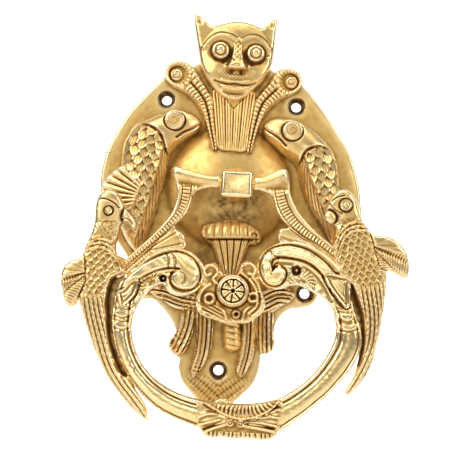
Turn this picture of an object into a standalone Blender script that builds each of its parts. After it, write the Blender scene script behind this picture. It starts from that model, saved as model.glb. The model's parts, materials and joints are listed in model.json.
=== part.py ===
"""A cast brass door knocker: an egg-shaped plate with a horned mask, fish, scrolls and leaves,
and a ring with two parrots that swings on a pin through a square eye block.

Frame: +Z up, +X to the right, the front faces -Y. The plate's back lies on Y = 0, and the origin
is midway between the two upper screw holes. Sizes below are in millimetres, and a height is a
distance in front of the plate's back.
"""

import math

import bmesh
import bpy
from mathutils import Matrix, Vector

MM = 0.001
GAP = 0.3
FACE_FORWARD = Matrix.Rotation(math.radians(90), 4, "X")
WELD_DISTANCE = 0.00001
CUTTER_MARGIN = 1.0
FINE_TURNING = 40
SMALL_TURNING = 24
EYE_TURNING = 20

# Plate
PLATE_THICKNESS = 4.5
PLATE_EDGE_ROUND = 0.9
DOME_CENTRE = (1.0, -43.0)
DOME_RADIUS = 31.0
DOME_APEX = 14.0
HOLLOW_RADIUS = 27.0
HOLLOW_APEX = 10.2
PROFILE_STEPS = 6
RELIEF_ROOT = 2.0
HOLE_RADIUS = 2.5
COUNTERSINK_FLOOR = 2.4
SCREW_HOLES = {
    "upper_left": (-33.0, 0.0),
    "upper_right": (33.0, 0.0),
    "ear_left": (-41.6, -94.4),
    "ear_right": (41.6, -94.4),
    "tail": (0.6, -134.6),
}

# Hinge
PIVOT = (4.6, 22.0, -43.2)
PIN_RADIUS = 1.9
PIN_LENGTH = 34.0
LUG_SIZE = (15.4, 13.4, 11.5)
LUG_FRONT = 28.5
LUG_MIDDLE_Z = -43.7
LUG_BOSS_RADIUS = 8.6
LUG_BOSS_CHAMFER = 1.6
LUG_BOSS_FOOT = 8.0
LUG_SHANK_TOP = 20.0
LUG_EDGE_ROUND = 0.9
TENON_RADIUS = 3.0
WASHER_RADIUS = 5.5
WASHER_TOP = 9.2
WASHER_THICKNESS = 1.2
RIVET_RADIUS = 4.6
RIVET_HEIGHT = 2.4

# Knocker
RING_BACK = 18.0
RING_FRONT = 27.0
RING_EDGE_ROUND = 2.4
ARM_BACK = 18.8
ARM_FRONT = 25.2
ARM_EDGE_ROUND = 1.4
PARROT_HEIGHT = 22.5
PARROT_FLATNESS = 0.74
STRIKER_CENTRE = (3.6, -151.8)
STRIKER_RADIUS = 4.6
SOCKET_DEPTH = 16.0
SOCKET_OVERRUN = 4.0
WING_HALF_DEPTH = 2.4
BEAK_HALF_DEPTH = 2.0
FLOWER_CENTRE = (5.4, -95.6)
FLOWER_RADIUS = 6.4
FLOWER_SEAT = 24.6
FISH_HEIGHT = 7.5
FISH_FLATNESS = 0.74

BRASS = (0.80, 0.58, 0.24)
PALE_BRASS = (0.86, 0.70, 0.40)


def clear_scene():
    for obj in list(bpy.data.objects):
        bpy.data.objects.remove(obj, do_unlink=True)


def new_collection(name):
    collection = bpy.data.collections.new(name)
    bpy.context.scene.collection.children.link(collection)
    return collection


def brass(name, colour, roughness):
    finish = bpy.data.materials.new(name)
    finish.use_nodes = True
    shader = finish.node_tree.nodes["Principled BSDF"]
    shader.inputs["Base Color"].default_value = (*colour, 1.0)
    shader.inputs["Metallic"].default_value = 1.0
    shader.inputs["Roughness"].default_value = roughness
    return finish


def smooth_line(points, steps=3, closed=True):
    """Points along a Catmull-Rom curve through the given points, of any number of axes."""
    count = len(points)
    spans = count if closed else count - 1
    line = []
    for index in range(spans):
        if closed:
            corner = [Vector(points[(index + shift) % count]) for shift in (-1, 0, 1, 2)]
        else:
            places = [min(max(index + shift, 0), count - 1) for shift in (-1, 0, 1, 2)]
            corner = [Vector(points[place]) for place in places]
        before, start, end, after = corner
        for step in range(steps):
            t = step / steps
            line.append(
                0.5
                * (
                    2 * start
                    + (end - before) * t
                    + (2 * before - 5 * start + 4 * end - after) * t**2
                    + (3 * start - before - 3 * end + after) * t**3
                )
            )
    if not closed:
        line.append(Vector(points[-1]))
    return line


def object_from_mesh(name, mesh, centre, height=0.0):
    """An object whose local X and Y lie along the plate, and whose local Z points forward."""
    obj = bpy.data.objects.new(name, mesh)
    place = Matrix.Translation((centre[0] * MM, -height * MM, centre[1] * MM))
    obj.matrix_world = place @ FACE_FORWARD
    PARTS.objects.link(obj)
    return obj


def middle_of(outline):
    xs = [point[0] for point in outline]
    zs = [point[1] for point in outline]
    return (min(xs) + max(xs)) / 2, (min(zs) + max(zs)) / 2


def flat_piece(name, outline, back, front, edge_round=0.0):
    """A flat casting cut to an outline, with its edges rounded."""
    centre = middle_of(outline)
    curve = bpy.data.curves.new(name, "CURVE")
    curve.dimensions = "2D"
    curve.fill_mode = "BOTH"
    curve.extrude = (front - back) / 2 * MM
    spline = curve.splines.new("POLY")
    spline.points.add(len(outline) - 1)
    for point, (x, z) in zip(spline.points, outline):
        point.co = ((x - centre[0]) * MM, (z - centre[1]) * MM, 0.0, 1.0)
    spline.use_cyclic_u = True
    piece = mesh_from_curve(curve, centre, (back + front) / 2)
    if edge_round:
        round_edges(piece, edge_round)
    return piece


def mesh_from_curve(curve, centre, height, flatness=1.0):
    """The solid of a curve, with its caps welded to its sides and its depth flattened."""
    name = curve.name
    guide = object_from_mesh(name + "_curve", curve, centre, height)
    bpy.context.view_layer.update()
    evaluated = guide.evaluated_get(bpy.context.evaluated_depsgraph_get())
    mesh = bpy.data.meshes.new_from_object(evaluated)
    mesh.name = name
    bm = bmesh.new()
    bm.from_mesh(mesh)
    bmesh.ops.remove_doubles(bm, verts=bm.verts, dist=WELD_DISTANCE)
    bmesh.ops.scale(bm, vec=(1.0, 1.0, flatness), verts=bm.verts)
    bmesh.ops.recalc_face_normals(bm, faces=bm.faces)
    bm.to_mesh(mesh)
    bm.free()
    piece = object_from_mesh(name, mesh, centre, height)
    bpy.data.objects.remove(guide, do_unlink=True)
    return piece


def round_edges(piece, width, segments=2, angle=50):
    bevel = piece.modifiers.new("rounded_edges", "BEVEL")
    bevel.width = width * MM
    bevel.segments = segments
    bevel.limit_method = "ANGLE"
    bevel.angle_limit = math.radians(angle)
    return bevel


def relief(name, outline, back, wall, steps):
    """A carved piece: a straight wall up to a height, then inset steps that crown the front."""
    centre = middle_of(outline)
    bm = bmesh.new()
    corners = []
    for x, z in outline:
        corners.append(bm.verts.new(((x - centre[0]) * MM, (z - centre[1]) * MM, back * MM)))
    floor = bm.faces.new(corners)
    raised = bmesh.ops.extrude_face_region(bm, geom=[floor])["geom"]
    top = [face for face in raised if isinstance(face, bmesh.types.BMFace)]
    top_corners = [vert for vert in raised if isinstance(vert, bmesh.types.BMVert)]
    bmesh.ops.translate(bm, vec=(0.0, 0.0, (wall - back) * MM), verts=top_corners)
    bmesh.ops.recalc_face_normals(bm, faces=bm.faces)
    for inset, rise in steps:
        bmesh.ops.inset_region(
            bm, faces=top, thickness=inset * MM, depth=rise * MM, use_even_offset=True
        )
    bmesh.ops.recalc_face_normals(bm, faces=bm.faces)
    mesh = bpy.data.meshes.new(name)
    bm.to_mesh(mesh)
    bm.free()
    return object_from_mesh(name, mesh, centre)


def turned(name, profile, centre, steps=32, height=0.0):
    """A turned solid about an axis square to the plate. The profile runs from front to back."""
    mesh = bpy.data.meshes.new(name)
    is_loop = profile[0] == profile[-1]
    stations = profile[:-1] if is_loop else profile
    corners = [(radius * MM, 0.0, rise * MM) for radius, rise in stations]
    edges = [(index, index + 1) for index in range(len(corners) - 1)]
    if is_loop:
        edges.append((len(corners) - 1, 0))
    mesh.from_pydata(corners, edges, [])
    piece = object_from_mesh(name, mesh, centre, height)
    screw = piece.modifiers.new("turning", "SCREW")
    screw.angle = math.tau
    screw.steps = steps
    screw.render_steps = steps
    screw.use_merge_vertices = True
    screw.merge_threshold = WELD_DISTANCE
    screw.use_smooth_shade = True
    return piece


def round_bar(name, stations, height, flatness, steps=3):
    """A bar of round sections, given as (x, z, radius), flattened towards the plate."""
    line = smooth_line(stations, steps, closed=False)
    centre = middle_of(line)
    curve = bpy.data.curves.new(name, "CURVE")
    curve.dimensions = "3D"
    curve.twist_mode = "Z_UP"
    curve.bevel_depth = MM
    curve.bevel_resolution = 3
    curve.use_fill_caps = True
    spline = curve.splines.new("POLY")
    spline.points.add(len(line) - 1)
    for point, (x, z, radius) in zip(spline.points, line):
        point.co = ((x - centre[0]) * MM, (z - centre[1]) * MM, 0.0, 1.0)
        point.radius = radius
    piece = mesh_from_curve(curve, centre, height, flatness)
    piece.data.shade_smooth()
    return piece


def cross_cylinder(name, radius, length, centre):
    """A cylinder along X, for the pin and its holes."""
    bm = bmesh.new()
    bmesh.ops.create_cone(
        bm,
        cap_ends=True,
        segments=24,
        radius1=radius * MM,
        radius2=radius * MM,
        depth=length * MM,
        matrix=Matrix.Rotation(math.radians(90), 4, "Y"),
    )
    mesh = bpy.data.meshes.new(name)
    bm.to_mesh(mesh)
    bm.free()
    mesh.shade_smooth()
    mesh.set_sharp_from_angle(angle=math.radians(40))
    x, height, z = centre
    return object_from_mesh(name, mesh, (x, z), height)


def boolean(piece, other, operation):
    """Cuts or joins with another solid, which is kept out of the model as a guide."""
    step = piece.modifiers.new(other.name, "BOOLEAN")
    step.operation = operation
    step.solver = "EXACT"
    step.object = other
    if other.name not in CUTTERS.objects:
        PARTS.objects.unlink(other)
        CUTTERS.objects.link(other)
        other.hide_render = True
        other.display_type = "WIRE"


def cut(piece, other):
    boolean(piece, other, "DIFFERENCE")


def join(piece, other):
    boolean(piece, other, "UNION")


def finish(piece, material, parent):
    """Gives a piece its material and hangs it on the body that it moves with."""
    piece.data.materials.clear()
    piece.data.materials.append(material)
    bpy.context.view_layer.update()
    piece.parent = parent
    piece.matrix_parent_inverse = parent.matrix_world.inverted()


def dome_height(radius):
    return PLATE_THICKNESS + (DOME_APEX - PLATE_THICKNESS) * (1 - (radius / DOME_RADIUS) ** 2)


def dome_profile(lift):
    """The dome's front from its apex to its foot, raised by a gap."""
    radii = [DOME_RADIUS * index / PROFILE_STEPS for index in range(PROFILE_STEPS + 1)]
    return [(radius, dome_height(radius) + lift) for radius in radii]


def plate_outline():
    left_side = [
        (-12.5, 33.0), (-13.5, 23.0), (-22.0, 17.5), (-31.0, 14.5), (-35.5, 11.0),
        (-40.3, 5.9), (-45.7, -0.3), (-51.5, -7.5), (-57.1, -17.5), (-61.2, -27.0),
        (-63.4, -37.0), (-63.6, -47.0), (-62.0, -57.0), (-58.0, -66.5), (-52.5, -74.5),
        (-48.0, -81.0), (-47.4, -87.5), (-48.2, -94.0), (-45.6, -99.2), (-40.6, -101.6),
        (-34.0, -101.1), (-27.7, -106.4), (-22.6, -113.5), (-20.8, -119.6), (-23.9, -123.7),
        (-22.7, -127.3), (-18.9, -129.9), (-19.1, -134.5), (-17.4, -139.9), (-14.3, -144.3),
        (-10.4, -148.2), (-6.0, -152.8), (0.0, -156.4),
    ]
    right_side = [
        (5.6, -153.2), (10.2, -148.8), (14.0, -144.9), (17.8, -140.4), (20.0, -135.5),
        (21.0, -129.8), (21.4, -125.6), (25.6, -124.4), (27.6, -120.0), (27.2, -113.5),
        (28.6, -108.4), (33.4, -103.0), (40.0, -101.4), (45.4, -99.4), (48.0, -94.6),
        (47.6, -88.5), (50.0, -82.0), (56.0, -75.0), (62.0, -68.5), (66.4, -62.0),
        (68.4, -55.5), (67.6, -47.5), (66.4, -39.0), (63.3, -28.3), (60.0, -20.5),
        (54.8, -13.1), (49.8, -5.3), (41.6, 4.7), (36.2, 10.4), (32.0, 14.5),
        (22.0, 17.0), (14.0, 23.0), (13.5, 33.0),
    ]
    return left_side + right_side


def build_plate():
    plate = flat_piece("backplate", plate_outline(), 0.0, PLATE_THICKNESS, PLATE_EDGE_ROUND)
    dome = turned(
        "dome_outside",
        dome_profile(0.0) + [(DOME_RADIUS - CUTTER_MARGIN, CUTTER_MARGIN), (0.0, CUTTER_MARGIN)],
        DOME_CENTRE,
        steps=FINE_TURNING,
    )
    join(plate, dome)
    radii = [HOLLOW_RADIUS * index / PROFILE_STEPS for index in range(PROFILE_STEPS + 1)]
    hollow = [(radius, HOLLOW_APEX * (1 - (radius / HOLLOW_RADIUS) ** 3)) for radius in radii]
    hollow += [(HOLLOW_RADIUS, -CUTTER_MARGIN), (0.0, -CUTTER_MARGIN)]
    cut(plate, turned("dome_hollow", hollow, DOME_CENTRE, steps=FINE_TURNING))
    rise_above_plate = 2.0
    mouth = HOLE_RADIUS + PLATE_THICKNESS + rise_above_plate - COUNTERSINK_FLOOR
    countersink = [
        (0.0, PLATE_THICKNESS + rise_above_plate),
        (mouth, PLATE_THICKNESS + rise_above_plate),
        (HOLE_RADIUS, COUNTERSINK_FLOOR),
        (HOLE_RADIUS, -CUTTER_MARGIN),
        (0.0, -CUTTER_MARGIN),
    ]
    for place, centre in SCREW_HOLES.items():
        cut(plate, turned("screw_hole_" + place, countersink, centre, steps=SMALL_TURNING))
    hole_top = DOME_APEX + CUTTER_MARGIN
    hole_bottom = HOLLOW_APEX - 2 * CUTTER_MARGIN
    tenon_hole = [
        (0.0, hole_top),
        (TENON_RADIUS + GAP, hole_top),
        (TENON_RADIUS + GAP, hole_bottom),
        (0.0, hole_bottom),
    ]
    cut(plate, turned("tenon_hole", tenon_hole, (PIVOT[0], PIVOT[2]), steps=SMALL_TURNING))
    finish(plate, MATTE, DOOR_FACE)


def build_seat():
    """The space that the plate and its dome take, with a gap, which reliefs are cut back to."""
    reach, depth = 150.0, -10.0
    profile = dome_profile(GAP)
    profile += [(reach, PLATE_THICKNESS + GAP), (reach, depth), (0.0, depth)]
    return turned("plate_clearance", profile, DOME_CENTRE, steps=FINE_TURNING)


def carved(name, outline, wall, steps, material=None, curve_steps=2):
    """A relief that sits on the plate and follows its dome."""
    piece = relief(name, smooth_line(outline, curve_steps), RELIEF_ROOT, wall, steps)
    cut(piece, SEAT)
    finish(piece, material or MATTE, DOOR_FACE)
    return piece


def build_mask():
    outline = [
        (-17.2, 19.0), (-19.2, 28.0), (-20.6, 35.0), (-21.0, 43.4), (-15.8, 40.2),
        (-11.0, 37.4), (-4.0, 40.4), (2.0, 41.2), (8.0, 40.4), (13.8, 37.8),
        (17.0, 40.6), (20.6, 43.4), (20.8, 35.0), (20.2, 27.0), (18.6, 19.0),
        (15.4, 11.6), (9.6, 5.8), (1.0, 3.6), (-7.6, 5.8), (-13.4, 11.6),
    ]
    mask = carved("mask", outline, 10.5, [(0.5, 0.7)], PALE)
    face = [
        (0.0, 15.4), (6.0, 14.8), (10.0, 13.6), (13.4, 11.8), (15.0, 10.0), (15.0, 8.0), (0.0, 8.0),
    ]
    join(mask, turned("mask_face", face, (1.2, 21.0), steps=SMALL_TURNING))
    nose = round_bar("nose", [(1.6, 30.0, 1.6), (1.6, 22.0, 2.4), (1.4, 16.4, 4.2)], 14.6, 0.9)
    join(mask, nose)
    for side, centre in (("left", (-6.8, 24.4)), ("right", (10.8, 23.8))):
        eye = [
            (0.0, 17.0), (1.6, 17.0), (2.4, 16.2), (4.6, 15.6), (5.0, 14.8), (5.0, 11.0), (0.0, 11.0),
        ]
        join(mask, turned("mask_eye_" + side, eye, centre, steps=EYE_TURNING))


def build_collar():
    beard = [
        (-9.4, 2.6), (-4.6, 2.8), (1.0, 2.2), (6.6, 2.8), (11.2, 2.6), (10.0, -7.0),
        (9.0, -16.0), (8.0, -25.0), (1.4, -25.4), (-5.2, -24.2), (-7.0, -15.0), (-8.2, -6.0),
    ]
    carved("beard_fan", beard, 11.0, [(1.2, 2.0)])
    left_band = [
        (-33.4, 10.6), (-33.4, 15.4), (-30.0, 18.8), (-25.0, 19.2), (-20.6, 17.4),
        (-17.4, 12.2), (-13.4, 6.6), (-10.4, 0.8), (-9.2, -6.0), (-8.0, -15.0), (-6.2, -24.6),
        (-8.4, -24.8), (-11.0, -14.6), (-13.0, -6.0), (-16.0, -0.4), (-20.4, 4.2), (-25.4, 6.6),
        (-30.0, 7.0),
    ]
    carved("collar_scroll_left", left_band, 9.5, [(0.9, 1.8)], PALE)
    right_band = [
        (34.0, 10.0), (33.4, 14.6), (30.0, 18.0), (25.6, 18.4), (22.0, 16.8),
        (19.2, 11.6), (15.4, 6.6), (12.2, 0.8), (11.0, -6.0), (10.0, -15.0), (9.0, -25.2),
        (11.2, -25.0), (13.0, -14.6), (15.0, -6.0), (18.0, -0.8), (22.0, 3.2), (26.4, 5.4),
        (31.0, 6.4),
    ]
    carved("collar_scroll_right", list(reversed(right_band)), 9.5, [(0.9, 1.8)], PALE)


def build_fish():
    left_spine = [
        (-14.8, -12.4, 1.6), (-18.2, -11.6, 4.4), (-24.6, -12.2, 8.0), (-31.4, -15.2, 10.4),
        (-37.4, -21.6, 11.0), (-40.6, -30.6, 11.2), (-41.8, -40.0, 10.8), (-42.6, -50.0, 9.2),
        (-43.0, -59.0, 7.2), (-43.0, -67.0, 5.0), (-42.2, -74.0, 3.4),
    ]
    left_fin = [
        (-41.0, -36.0), (-48.0, -38.0), (-54.0, -42.0), (-59.4, -48.0), (-60.0, -54.0),
        (-55.0, -55.6), (-48.0, -56.4), (-42.0, -59.0),
    ]
    right_spine = [
        (16.8, -12.6, 1.6), (20.6, -13.0, 4.8), (27.0, -15.2, 8.0), (34.0, -18.6, 10.2),
        (40.4, -25.2, 10.8), (43.8, -33.0, 10.4), (46.0, -41.0, 9.8), (48.6, -50.0, 8.6),
        (51.0, -58.0, 6.6), (52.8, -65.0, 4.2),
    ]
    eye = [(0.0, 17.6), (3.4, 17.2), (4.8, 15.6), (4.8, 9.0), (0.0, 9.0)]
    for side, spine, eye_centre in (
        ("left", left_spine, (-28.2, -12.4)),
        ("right", right_spine, (31.0, -13.6)),
    ):
        fish = round_bar("fish_" + side, spine, FISH_HEIGHT, FISH_FLATNESS)
        cut(fish, SEAT)
        join(fish, turned("fish_eye_" + side, eye, eye_centre, steps=EYE_TURNING))
        if side == "left":
            join(fish, relief("fish_fin", left_fin, PLATE_THICKNESS + GAP, 10.0, [(1.2, 1.6)]))
        finish(fish, PALE, DOOR_FACE)


def build_torch():
    cup = [
        (-11.6, -69.4), (-10.4, -65.4), (-5.6, -62.4), (1.6, -61.2), (9.6, -62.0),
        (15.8, -65.2), (18.0, -69.4), (13.6, -71.6), (10.2, -79.6), (6.8, -87.2),
        (3.2, -88.2), (-0.2, -87.2), (-3.6, -79.6), (-7.2, -71.4),
    ]
    carved("torch_cup", cup, 11.5, [(0.7, 1.4), (0.7, 1.2)], None, 1)
    handle = round_bar(
        "torch_handle",
        [(3.4, -89.4, 3.6), (4.2, -97.0, 4.0), (5.2, -106.0, 4.3), (6.4, -116.0, 4.5), (7.0, -123.0, 4.2)],
        5.5,
        0.85,
        steps=2,
    )
    cut(handle, SEAT)
    finish(handle, MATTE, DOOR_FACE)


def build_leaves():
    leaves = {
        "tail_leaf_outer_left": [
            (-18.4, -106.4), (-19.0, -110.4), (-20.2, -115.2), (-22.4, -119.0), (-24.0, -122.7),
            (-23.0, -126.0), (-19.6, -127.6), (-16.2, -125.6), (-13.6, -119.4), (-12.9, -111.1),
            (-12.9, -106.0),
        ],
        "tail_leaf_inner_left": [
            (-9.7, -109.0), (-4.4, -108.6), (-3.6, -115.2), (-3.7, -122.5), (-5.8, -129.4),
            (-9.2, -135.3), (-11.4, -137.8), (-12.2, -133.6), (-10.6, -124.7), (-9.9, -115.5),
        ],
        "tail_leaf_inner_right": [
            (11.6, -111.0), (16.5, -111.0), (17.0, -121.4), (16.4, -127.8), (13.8, -134.1),
            (11.4, -136.5), (9.6, -132.0), (11.2, -125.0), (11.8, -118.0),
        ],
        "tail_leaf_outer_right": [
            (18.7, -107.6), (25.6, -106.3), (25.9, -113.6), (27.2, -120.4), (25.1, -123.7),
            (20.9, -124.4), (19.0, -118.5), (18.2, -112.2),
        ],
        "ear_leaf_left": [
            (-34.4, -95.6), (-29.0, -95.0), (-24.6, -96.0), (-18.0, -97.0), (-12.8, -98.6),
            (-12.6, -104.8), (-18.4, -105.0), (-23.4, -103.6), (-27.6, -101.0), (-32.0, -99.4),
        ],
        "ear_leaf_right": [
            (34.6, -93.6), (30.0, -91.6), (24.6, -93.0), (18.4, -96.0), (12.4, -98.0),
            (12.0, -105.8), (18.2, -106.2), (24.0, -104.4), (29.0, -101.2), (33.4, -98.4),
        ],
    }
    for name, outline in leaves.items():
        carved(name, outline, 7.2, [(1.1, 1.8)], PALE)


def build_lug():
    x, _, z = PIVOT
    boss = [
        (0.0, LUG_SHANK_TOP), (6.0, LUG_SHANK_TOP), (LUG_BOSS_RADIUS - LUG_BOSS_CHAMFER, 15.8),
        (LUG_BOSS_RADIUS, 14.6), (LUG_BOSS_RADIUS, LUG_BOSS_FOOT), (0.0, LUG_BOSS_FOOT),
    ]
    lug = turned("hinge_lug", boss, (x, z), steps=SMALL_TURNING)
    cut(lug, SEAT)
    width, depth, height = LUG_SIZE
    bm = bmesh.new()
    bmesh.ops.create_cube(bm, size=1.0)
    bmesh.ops.scale(bm, vec=(width * MM, height * MM, depth * MM), verts=bm.verts)
    mesh = bpy.data.meshes.new("eye_block")
    bm.to_mesh(mesh)
    bm.free()
    block = object_from_mesh("eye_block", mesh, (x, LUG_MIDDLE_Z), LUG_FRONT - depth / 2)
    round_edges(block, LUG_EDGE_ROUND)
    join(lug, block)
    washer_bottom = WASHER_TOP - WASHER_THICKNESS
    rivet_top = washer_bottom - GAP
    tenon = [
        (0.0, LUG_SHANK_TOP - CUTTER_MARGIN), (TENON_RADIUS, LUG_SHANK_TOP - CUTTER_MARGIN),
        (TENON_RADIUS, rivet_top),
        (RIVET_RADIUS, rivet_top), (RIVET_RADIUS - 0.8, rivet_top - RIVET_HEIGHT * 0.7),
        (RIVET_RADIUS - 2.4, rivet_top - RIVET_HEIGHT), (0.0, rivet_top - RIVET_HEIGHT),
    ]
    join(lug, turned("tenon", tenon, (x, z), steps=SMALL_TURNING))
    cut(lug, cross_cylinder("eye_bore", PIN_RADIUS + GAP, width + 2 * CUTTER_MARGIN, PIVOT))
    finish(lug, POLISHED, DOOR_FACE)
    washer = [
        (TENON_RADIUS + GAP, WASHER_TOP), (WASHER_RADIUS, WASHER_TOP),
        (WASHER_RADIUS, washer_bottom), (TENON_RADIUS + GAP, washer_bottom),
        (TENON_RADIUS + GAP, WASHER_TOP),
    ]
    finish(turned("lug_washer", washer, (x, z), steps=SMALL_TURNING), MATTE, DOOR_FACE)


def build_pin():
    pin = cross_cylinder("hinge_pin", PIN_RADIUS, PIN_LENGTH, (PIVOT[0] - 0.1, PIVOT[1], PIVOT[2]))
    finish(pin, POLISHED, KNOCKER_HINGE)


def build_arms():
    left = [
        (-6.4, -40.0), (-12.6, -39.4), (-20.0, -38.2), (-26.4, -37.2), (-27.0, -40.0),
        (-24.8, -45.0), (-24.0, -51.5), (-26.0, -59.4), (-29.6, -64.6), (-34.4, -70.4),
        (-41.0, -77.2), (-46.0, -82.2), (-49.6, -85.8), (-50.4, -89.4), (-48.4, -91.9),
        (-45.2, -89.4), (-41.7, -85.5), (-37.2, -81.5), (-31.9, -77.5), (-26.3, -76.3),
        (-20.8, -76.9), (-18.4, -76.0), (-19.4, -72.6), (-23.4, -69.6), (-24.6, -66.8),
        (-22.0, -63.6), (-18.6, -59.4), (-16.8, -53.9), (-15.6, -48.8), (-12.6, -47.0),
        (-6.4, -46.2),
    ]
    right = [
        (15.4, -40.0), (19.0, -38.8), (23.6, -36.4), (28.0, -35.6), (30.3, -41.6),
        (31.0, -46.6), (34.1, -53.8), (38.9, -59.9), (45.5, -66.0), (51.2, -70.2),
        (54.0, -72.6), (54.6, -76.0), (56.4, -81.2), (55.2, -81.0), (51.9, -77.5),
        (46.3, -73.2), (39.8, -70.4), (34.1, -69.3), (28.6, -70.2), (26.6, -69.4),
        (28.6, -66.2), (30.6, -64.0), (27.1, -60.6), (24.1, -55.3), (22.4, -48.4),
        (19.0, -46.8), (15.4, -46.4),
    ]
    for side, outline, face_x in (("left", left, -6.4), ("right", list(reversed(right)), 15.4)):
        arm = flat_piece("arm_" + side, outline, ARM_BACK, ARM_FRONT, ARM_EDGE_ROUND)
        inward = -1.0 if side == "left" else 1.0
        middle = (face_x + inward * (SOCKET_DEPTH / 2 - SOCKET_OVERRUN), PIVOT[1], PIVOT[2])
        cut(arm, cross_cylinder("pin_socket_" + side, PIN_RADIUS + GAP, SOCKET_DEPTH, middle))
        finish(arm, PALE, KNOCKER_HINGE)


def ring_outline():
    left_volute = [
        (-18.6, -94.6), (-14.4, -92.4), (-11.8, -87.4), (-12.9, -83.0), (-15.8, -79.7),
        (-20.8, -77.6), (-26.3, -77.0), (-31.7, -78.2), (-36.9, -82.1), (-41.2, -86.0),
        (-44.9, -89.8), (-48.6, -93.6),
    ]
    left_side = [
        (-50.6, -98.0), (-51.4, -105.6), (-51.4, -114.8), (-49.7, -123.5), (-47.0, -130.5),
        (-43.4, -137.0), (-39.3, -142.5), (-34.7, -147.4), (-29.0, -152.2), (-21.7, -156.2),
        (-14.3, -158.9), (-4.3, -161.6), (12.5, -163.0),
    ]
    right_side = [
        (26.0, -162.4), (32.9, -159.5), (37.2, -156.2), (42.4, -152.3), (47.6, -147.6),
        (52.8, -142.9), (57.1, -138.0), (61.0, -133.2), (64.4, -128.0), (67.0, -122.6),
        (68.6, -116.4), (67.4, -109.0), (64.0, -101.6), (61.2, -94.0), (58.9, -87.6),
    ]
    right_volute = [
        (56.2, -83.0), (51.7, -78.2), (46.1, -74.0), (39.6, -71.2), (34.1, -70.1),
        (26.8, -71.4), (20.9, -74.5), (17.7, -79.2), (17.3, -84.6), (19.9, -89.3),
        (24.4, -92.2),
    ]
    right_web = [(30.0, -90.4), (35.0, -89.0), (41.0, -90.6), (46.1, -94.0)]
    right_inside = [
        (50.8, -97.8), (53.7, -101.9), (55.3, -107.0), (55.5, -112.4), (54.4, -117.9),
        (51.9, -123.4), (48.6, -128.9), (44.3, -134.3), (40.0, -138.3), (34.8, -142.2),
        (29.6, -145.1), (22.5, -147.4), (12.5, -148.8),
    ]
    left_inside = [
        (0.0, -148.6), (-10.1, -147.4), (-18.7, -145.0), (-24.3, -142.2), (-29.8, -138.6),
        (-34.4, -134.1), (-37.7, -129.1), (-40.3, -122.9), (-41.6, -116.7), (-41.3, -111.3),
        (-39.5, -105.8), (-37.6, -100.6), (-34.2, -96.0), (-30.0, -91.6), (-26.0, -89.8),
        (-22.4, -92.6),
    ]
    sides = left_side + right_side + right_volute
    return left_volute + sides + right_web + right_inside + left_inside


def build_ring():
    ring = flat_piece("ring", list(reversed(ring_outline())), RING_BACK, RING_FRONT, RING_EDGE_ROUND)
    finish(ring, POLISHED, KNOCKER_HINGE)


def build_parrots():
    left_spine = [
        (-57.0, -51.6, 2.0), (-57.0, -54.6, 5.0), (-56.6, -59.0, 6.6), (-55.9, -65.4, 6.6),
        (-56.8, -71.0, 6.5), (-57.6, -77.0, 6.7), (-59.0, -83.0, 7.2), (-60.4, -90.0, 7.6),
        (-61.6, -98.0, 7.2), (-61.6, -106.0, 6.0), (-59.8, -114.0, 4.6), (-56.6, -122.6, 3.8),
        (-52.6, -131.8, 3.2), (-47.8, -140.4, 3.2), (-42.0, -147.8, 3.0), (-36.4, -153.8, 2.6),
        (-32.2, -158.2, 1.6),
    ]
    left_wing = [
        (-64.0, -84.0), (-70.4, -83.8), (-75.2, -86.8), (-77.6, -92.0), (-76.8, -99.0),
        (-74.0, -105.4), (-72.0, -107.4), (-68.0, -103.0), (-63.0, -98.0),
    ]
    left_beak = [
        (-52.0, -55.6), (-47.6, -59.4), (-44.4, -63.0), (-42.6, -67.6), (-46.4, -66.6),
        (-50.0, -66.0), (-54.0, -63.0),
    ]
    right_spine = [
        (56.6, -45.4, 2.0), (56.4, -48.6, 4.6), (57.4, -53.0, 6.0), (59.8, -59.0, 6.2),
        (62.6, -65.0, 7.2), (65.4, -71.0, 8.4), (68.0, -78.0, 9.0), (70.2, -85.0, 8.6),
        (72.0, -93.0, 7.0), (73.2, -101.0, 5.0), (73.4, -110.0, 3.6), (72.8, -118.0, 2.8),
        (70.4, -126.0, 2.8), (66.6, -133.8, 3.0), (62.0, -140.2, 1.6),
    ]
    right_wing = [
        (68.0, -66.8), (72.0, -64.4), (77.6, -65.0), (82.2, -67.1), (87.0, -71.4),
        (89.6, -77.0), (89.9, -83.6), (85.4, -83.4), (80.0, -81.6), (72.0, -80.0),
    ]
    right_beak = [
        (58.0, -50.0), (52.4, -49.4), (49.4, -53.4), (48.0, -57.4), (52.0, -58.8),
        (58.0, -59.4),
    ]
    for side, spine, wing, beak in (
        ("left", left_spine, left_wing, left_beak),
        ("right", right_spine, right_wing, right_beak),
    ):
        parrot = round_bar("parrot_" + side, spine, PARROT_HEIGHT, PARROT_FLATNESS, steps=2)
        wing_back = PARROT_HEIGHT - WING_HALF_DEPTH
        beak_back = PARROT_HEIGHT - BEAK_HALF_DEPTH
        join(parrot, relief("wing_" + side, wing, wing_back, wing_back + 3.4, [(1.6, 1.6)]))
        join(parrot, relief("beak_" + side, beak, beak_back, beak_back + 2.6, [(1.0, 1.4)]))
        finish(parrot, MATTE, KNOCKER_HINGE)


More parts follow.
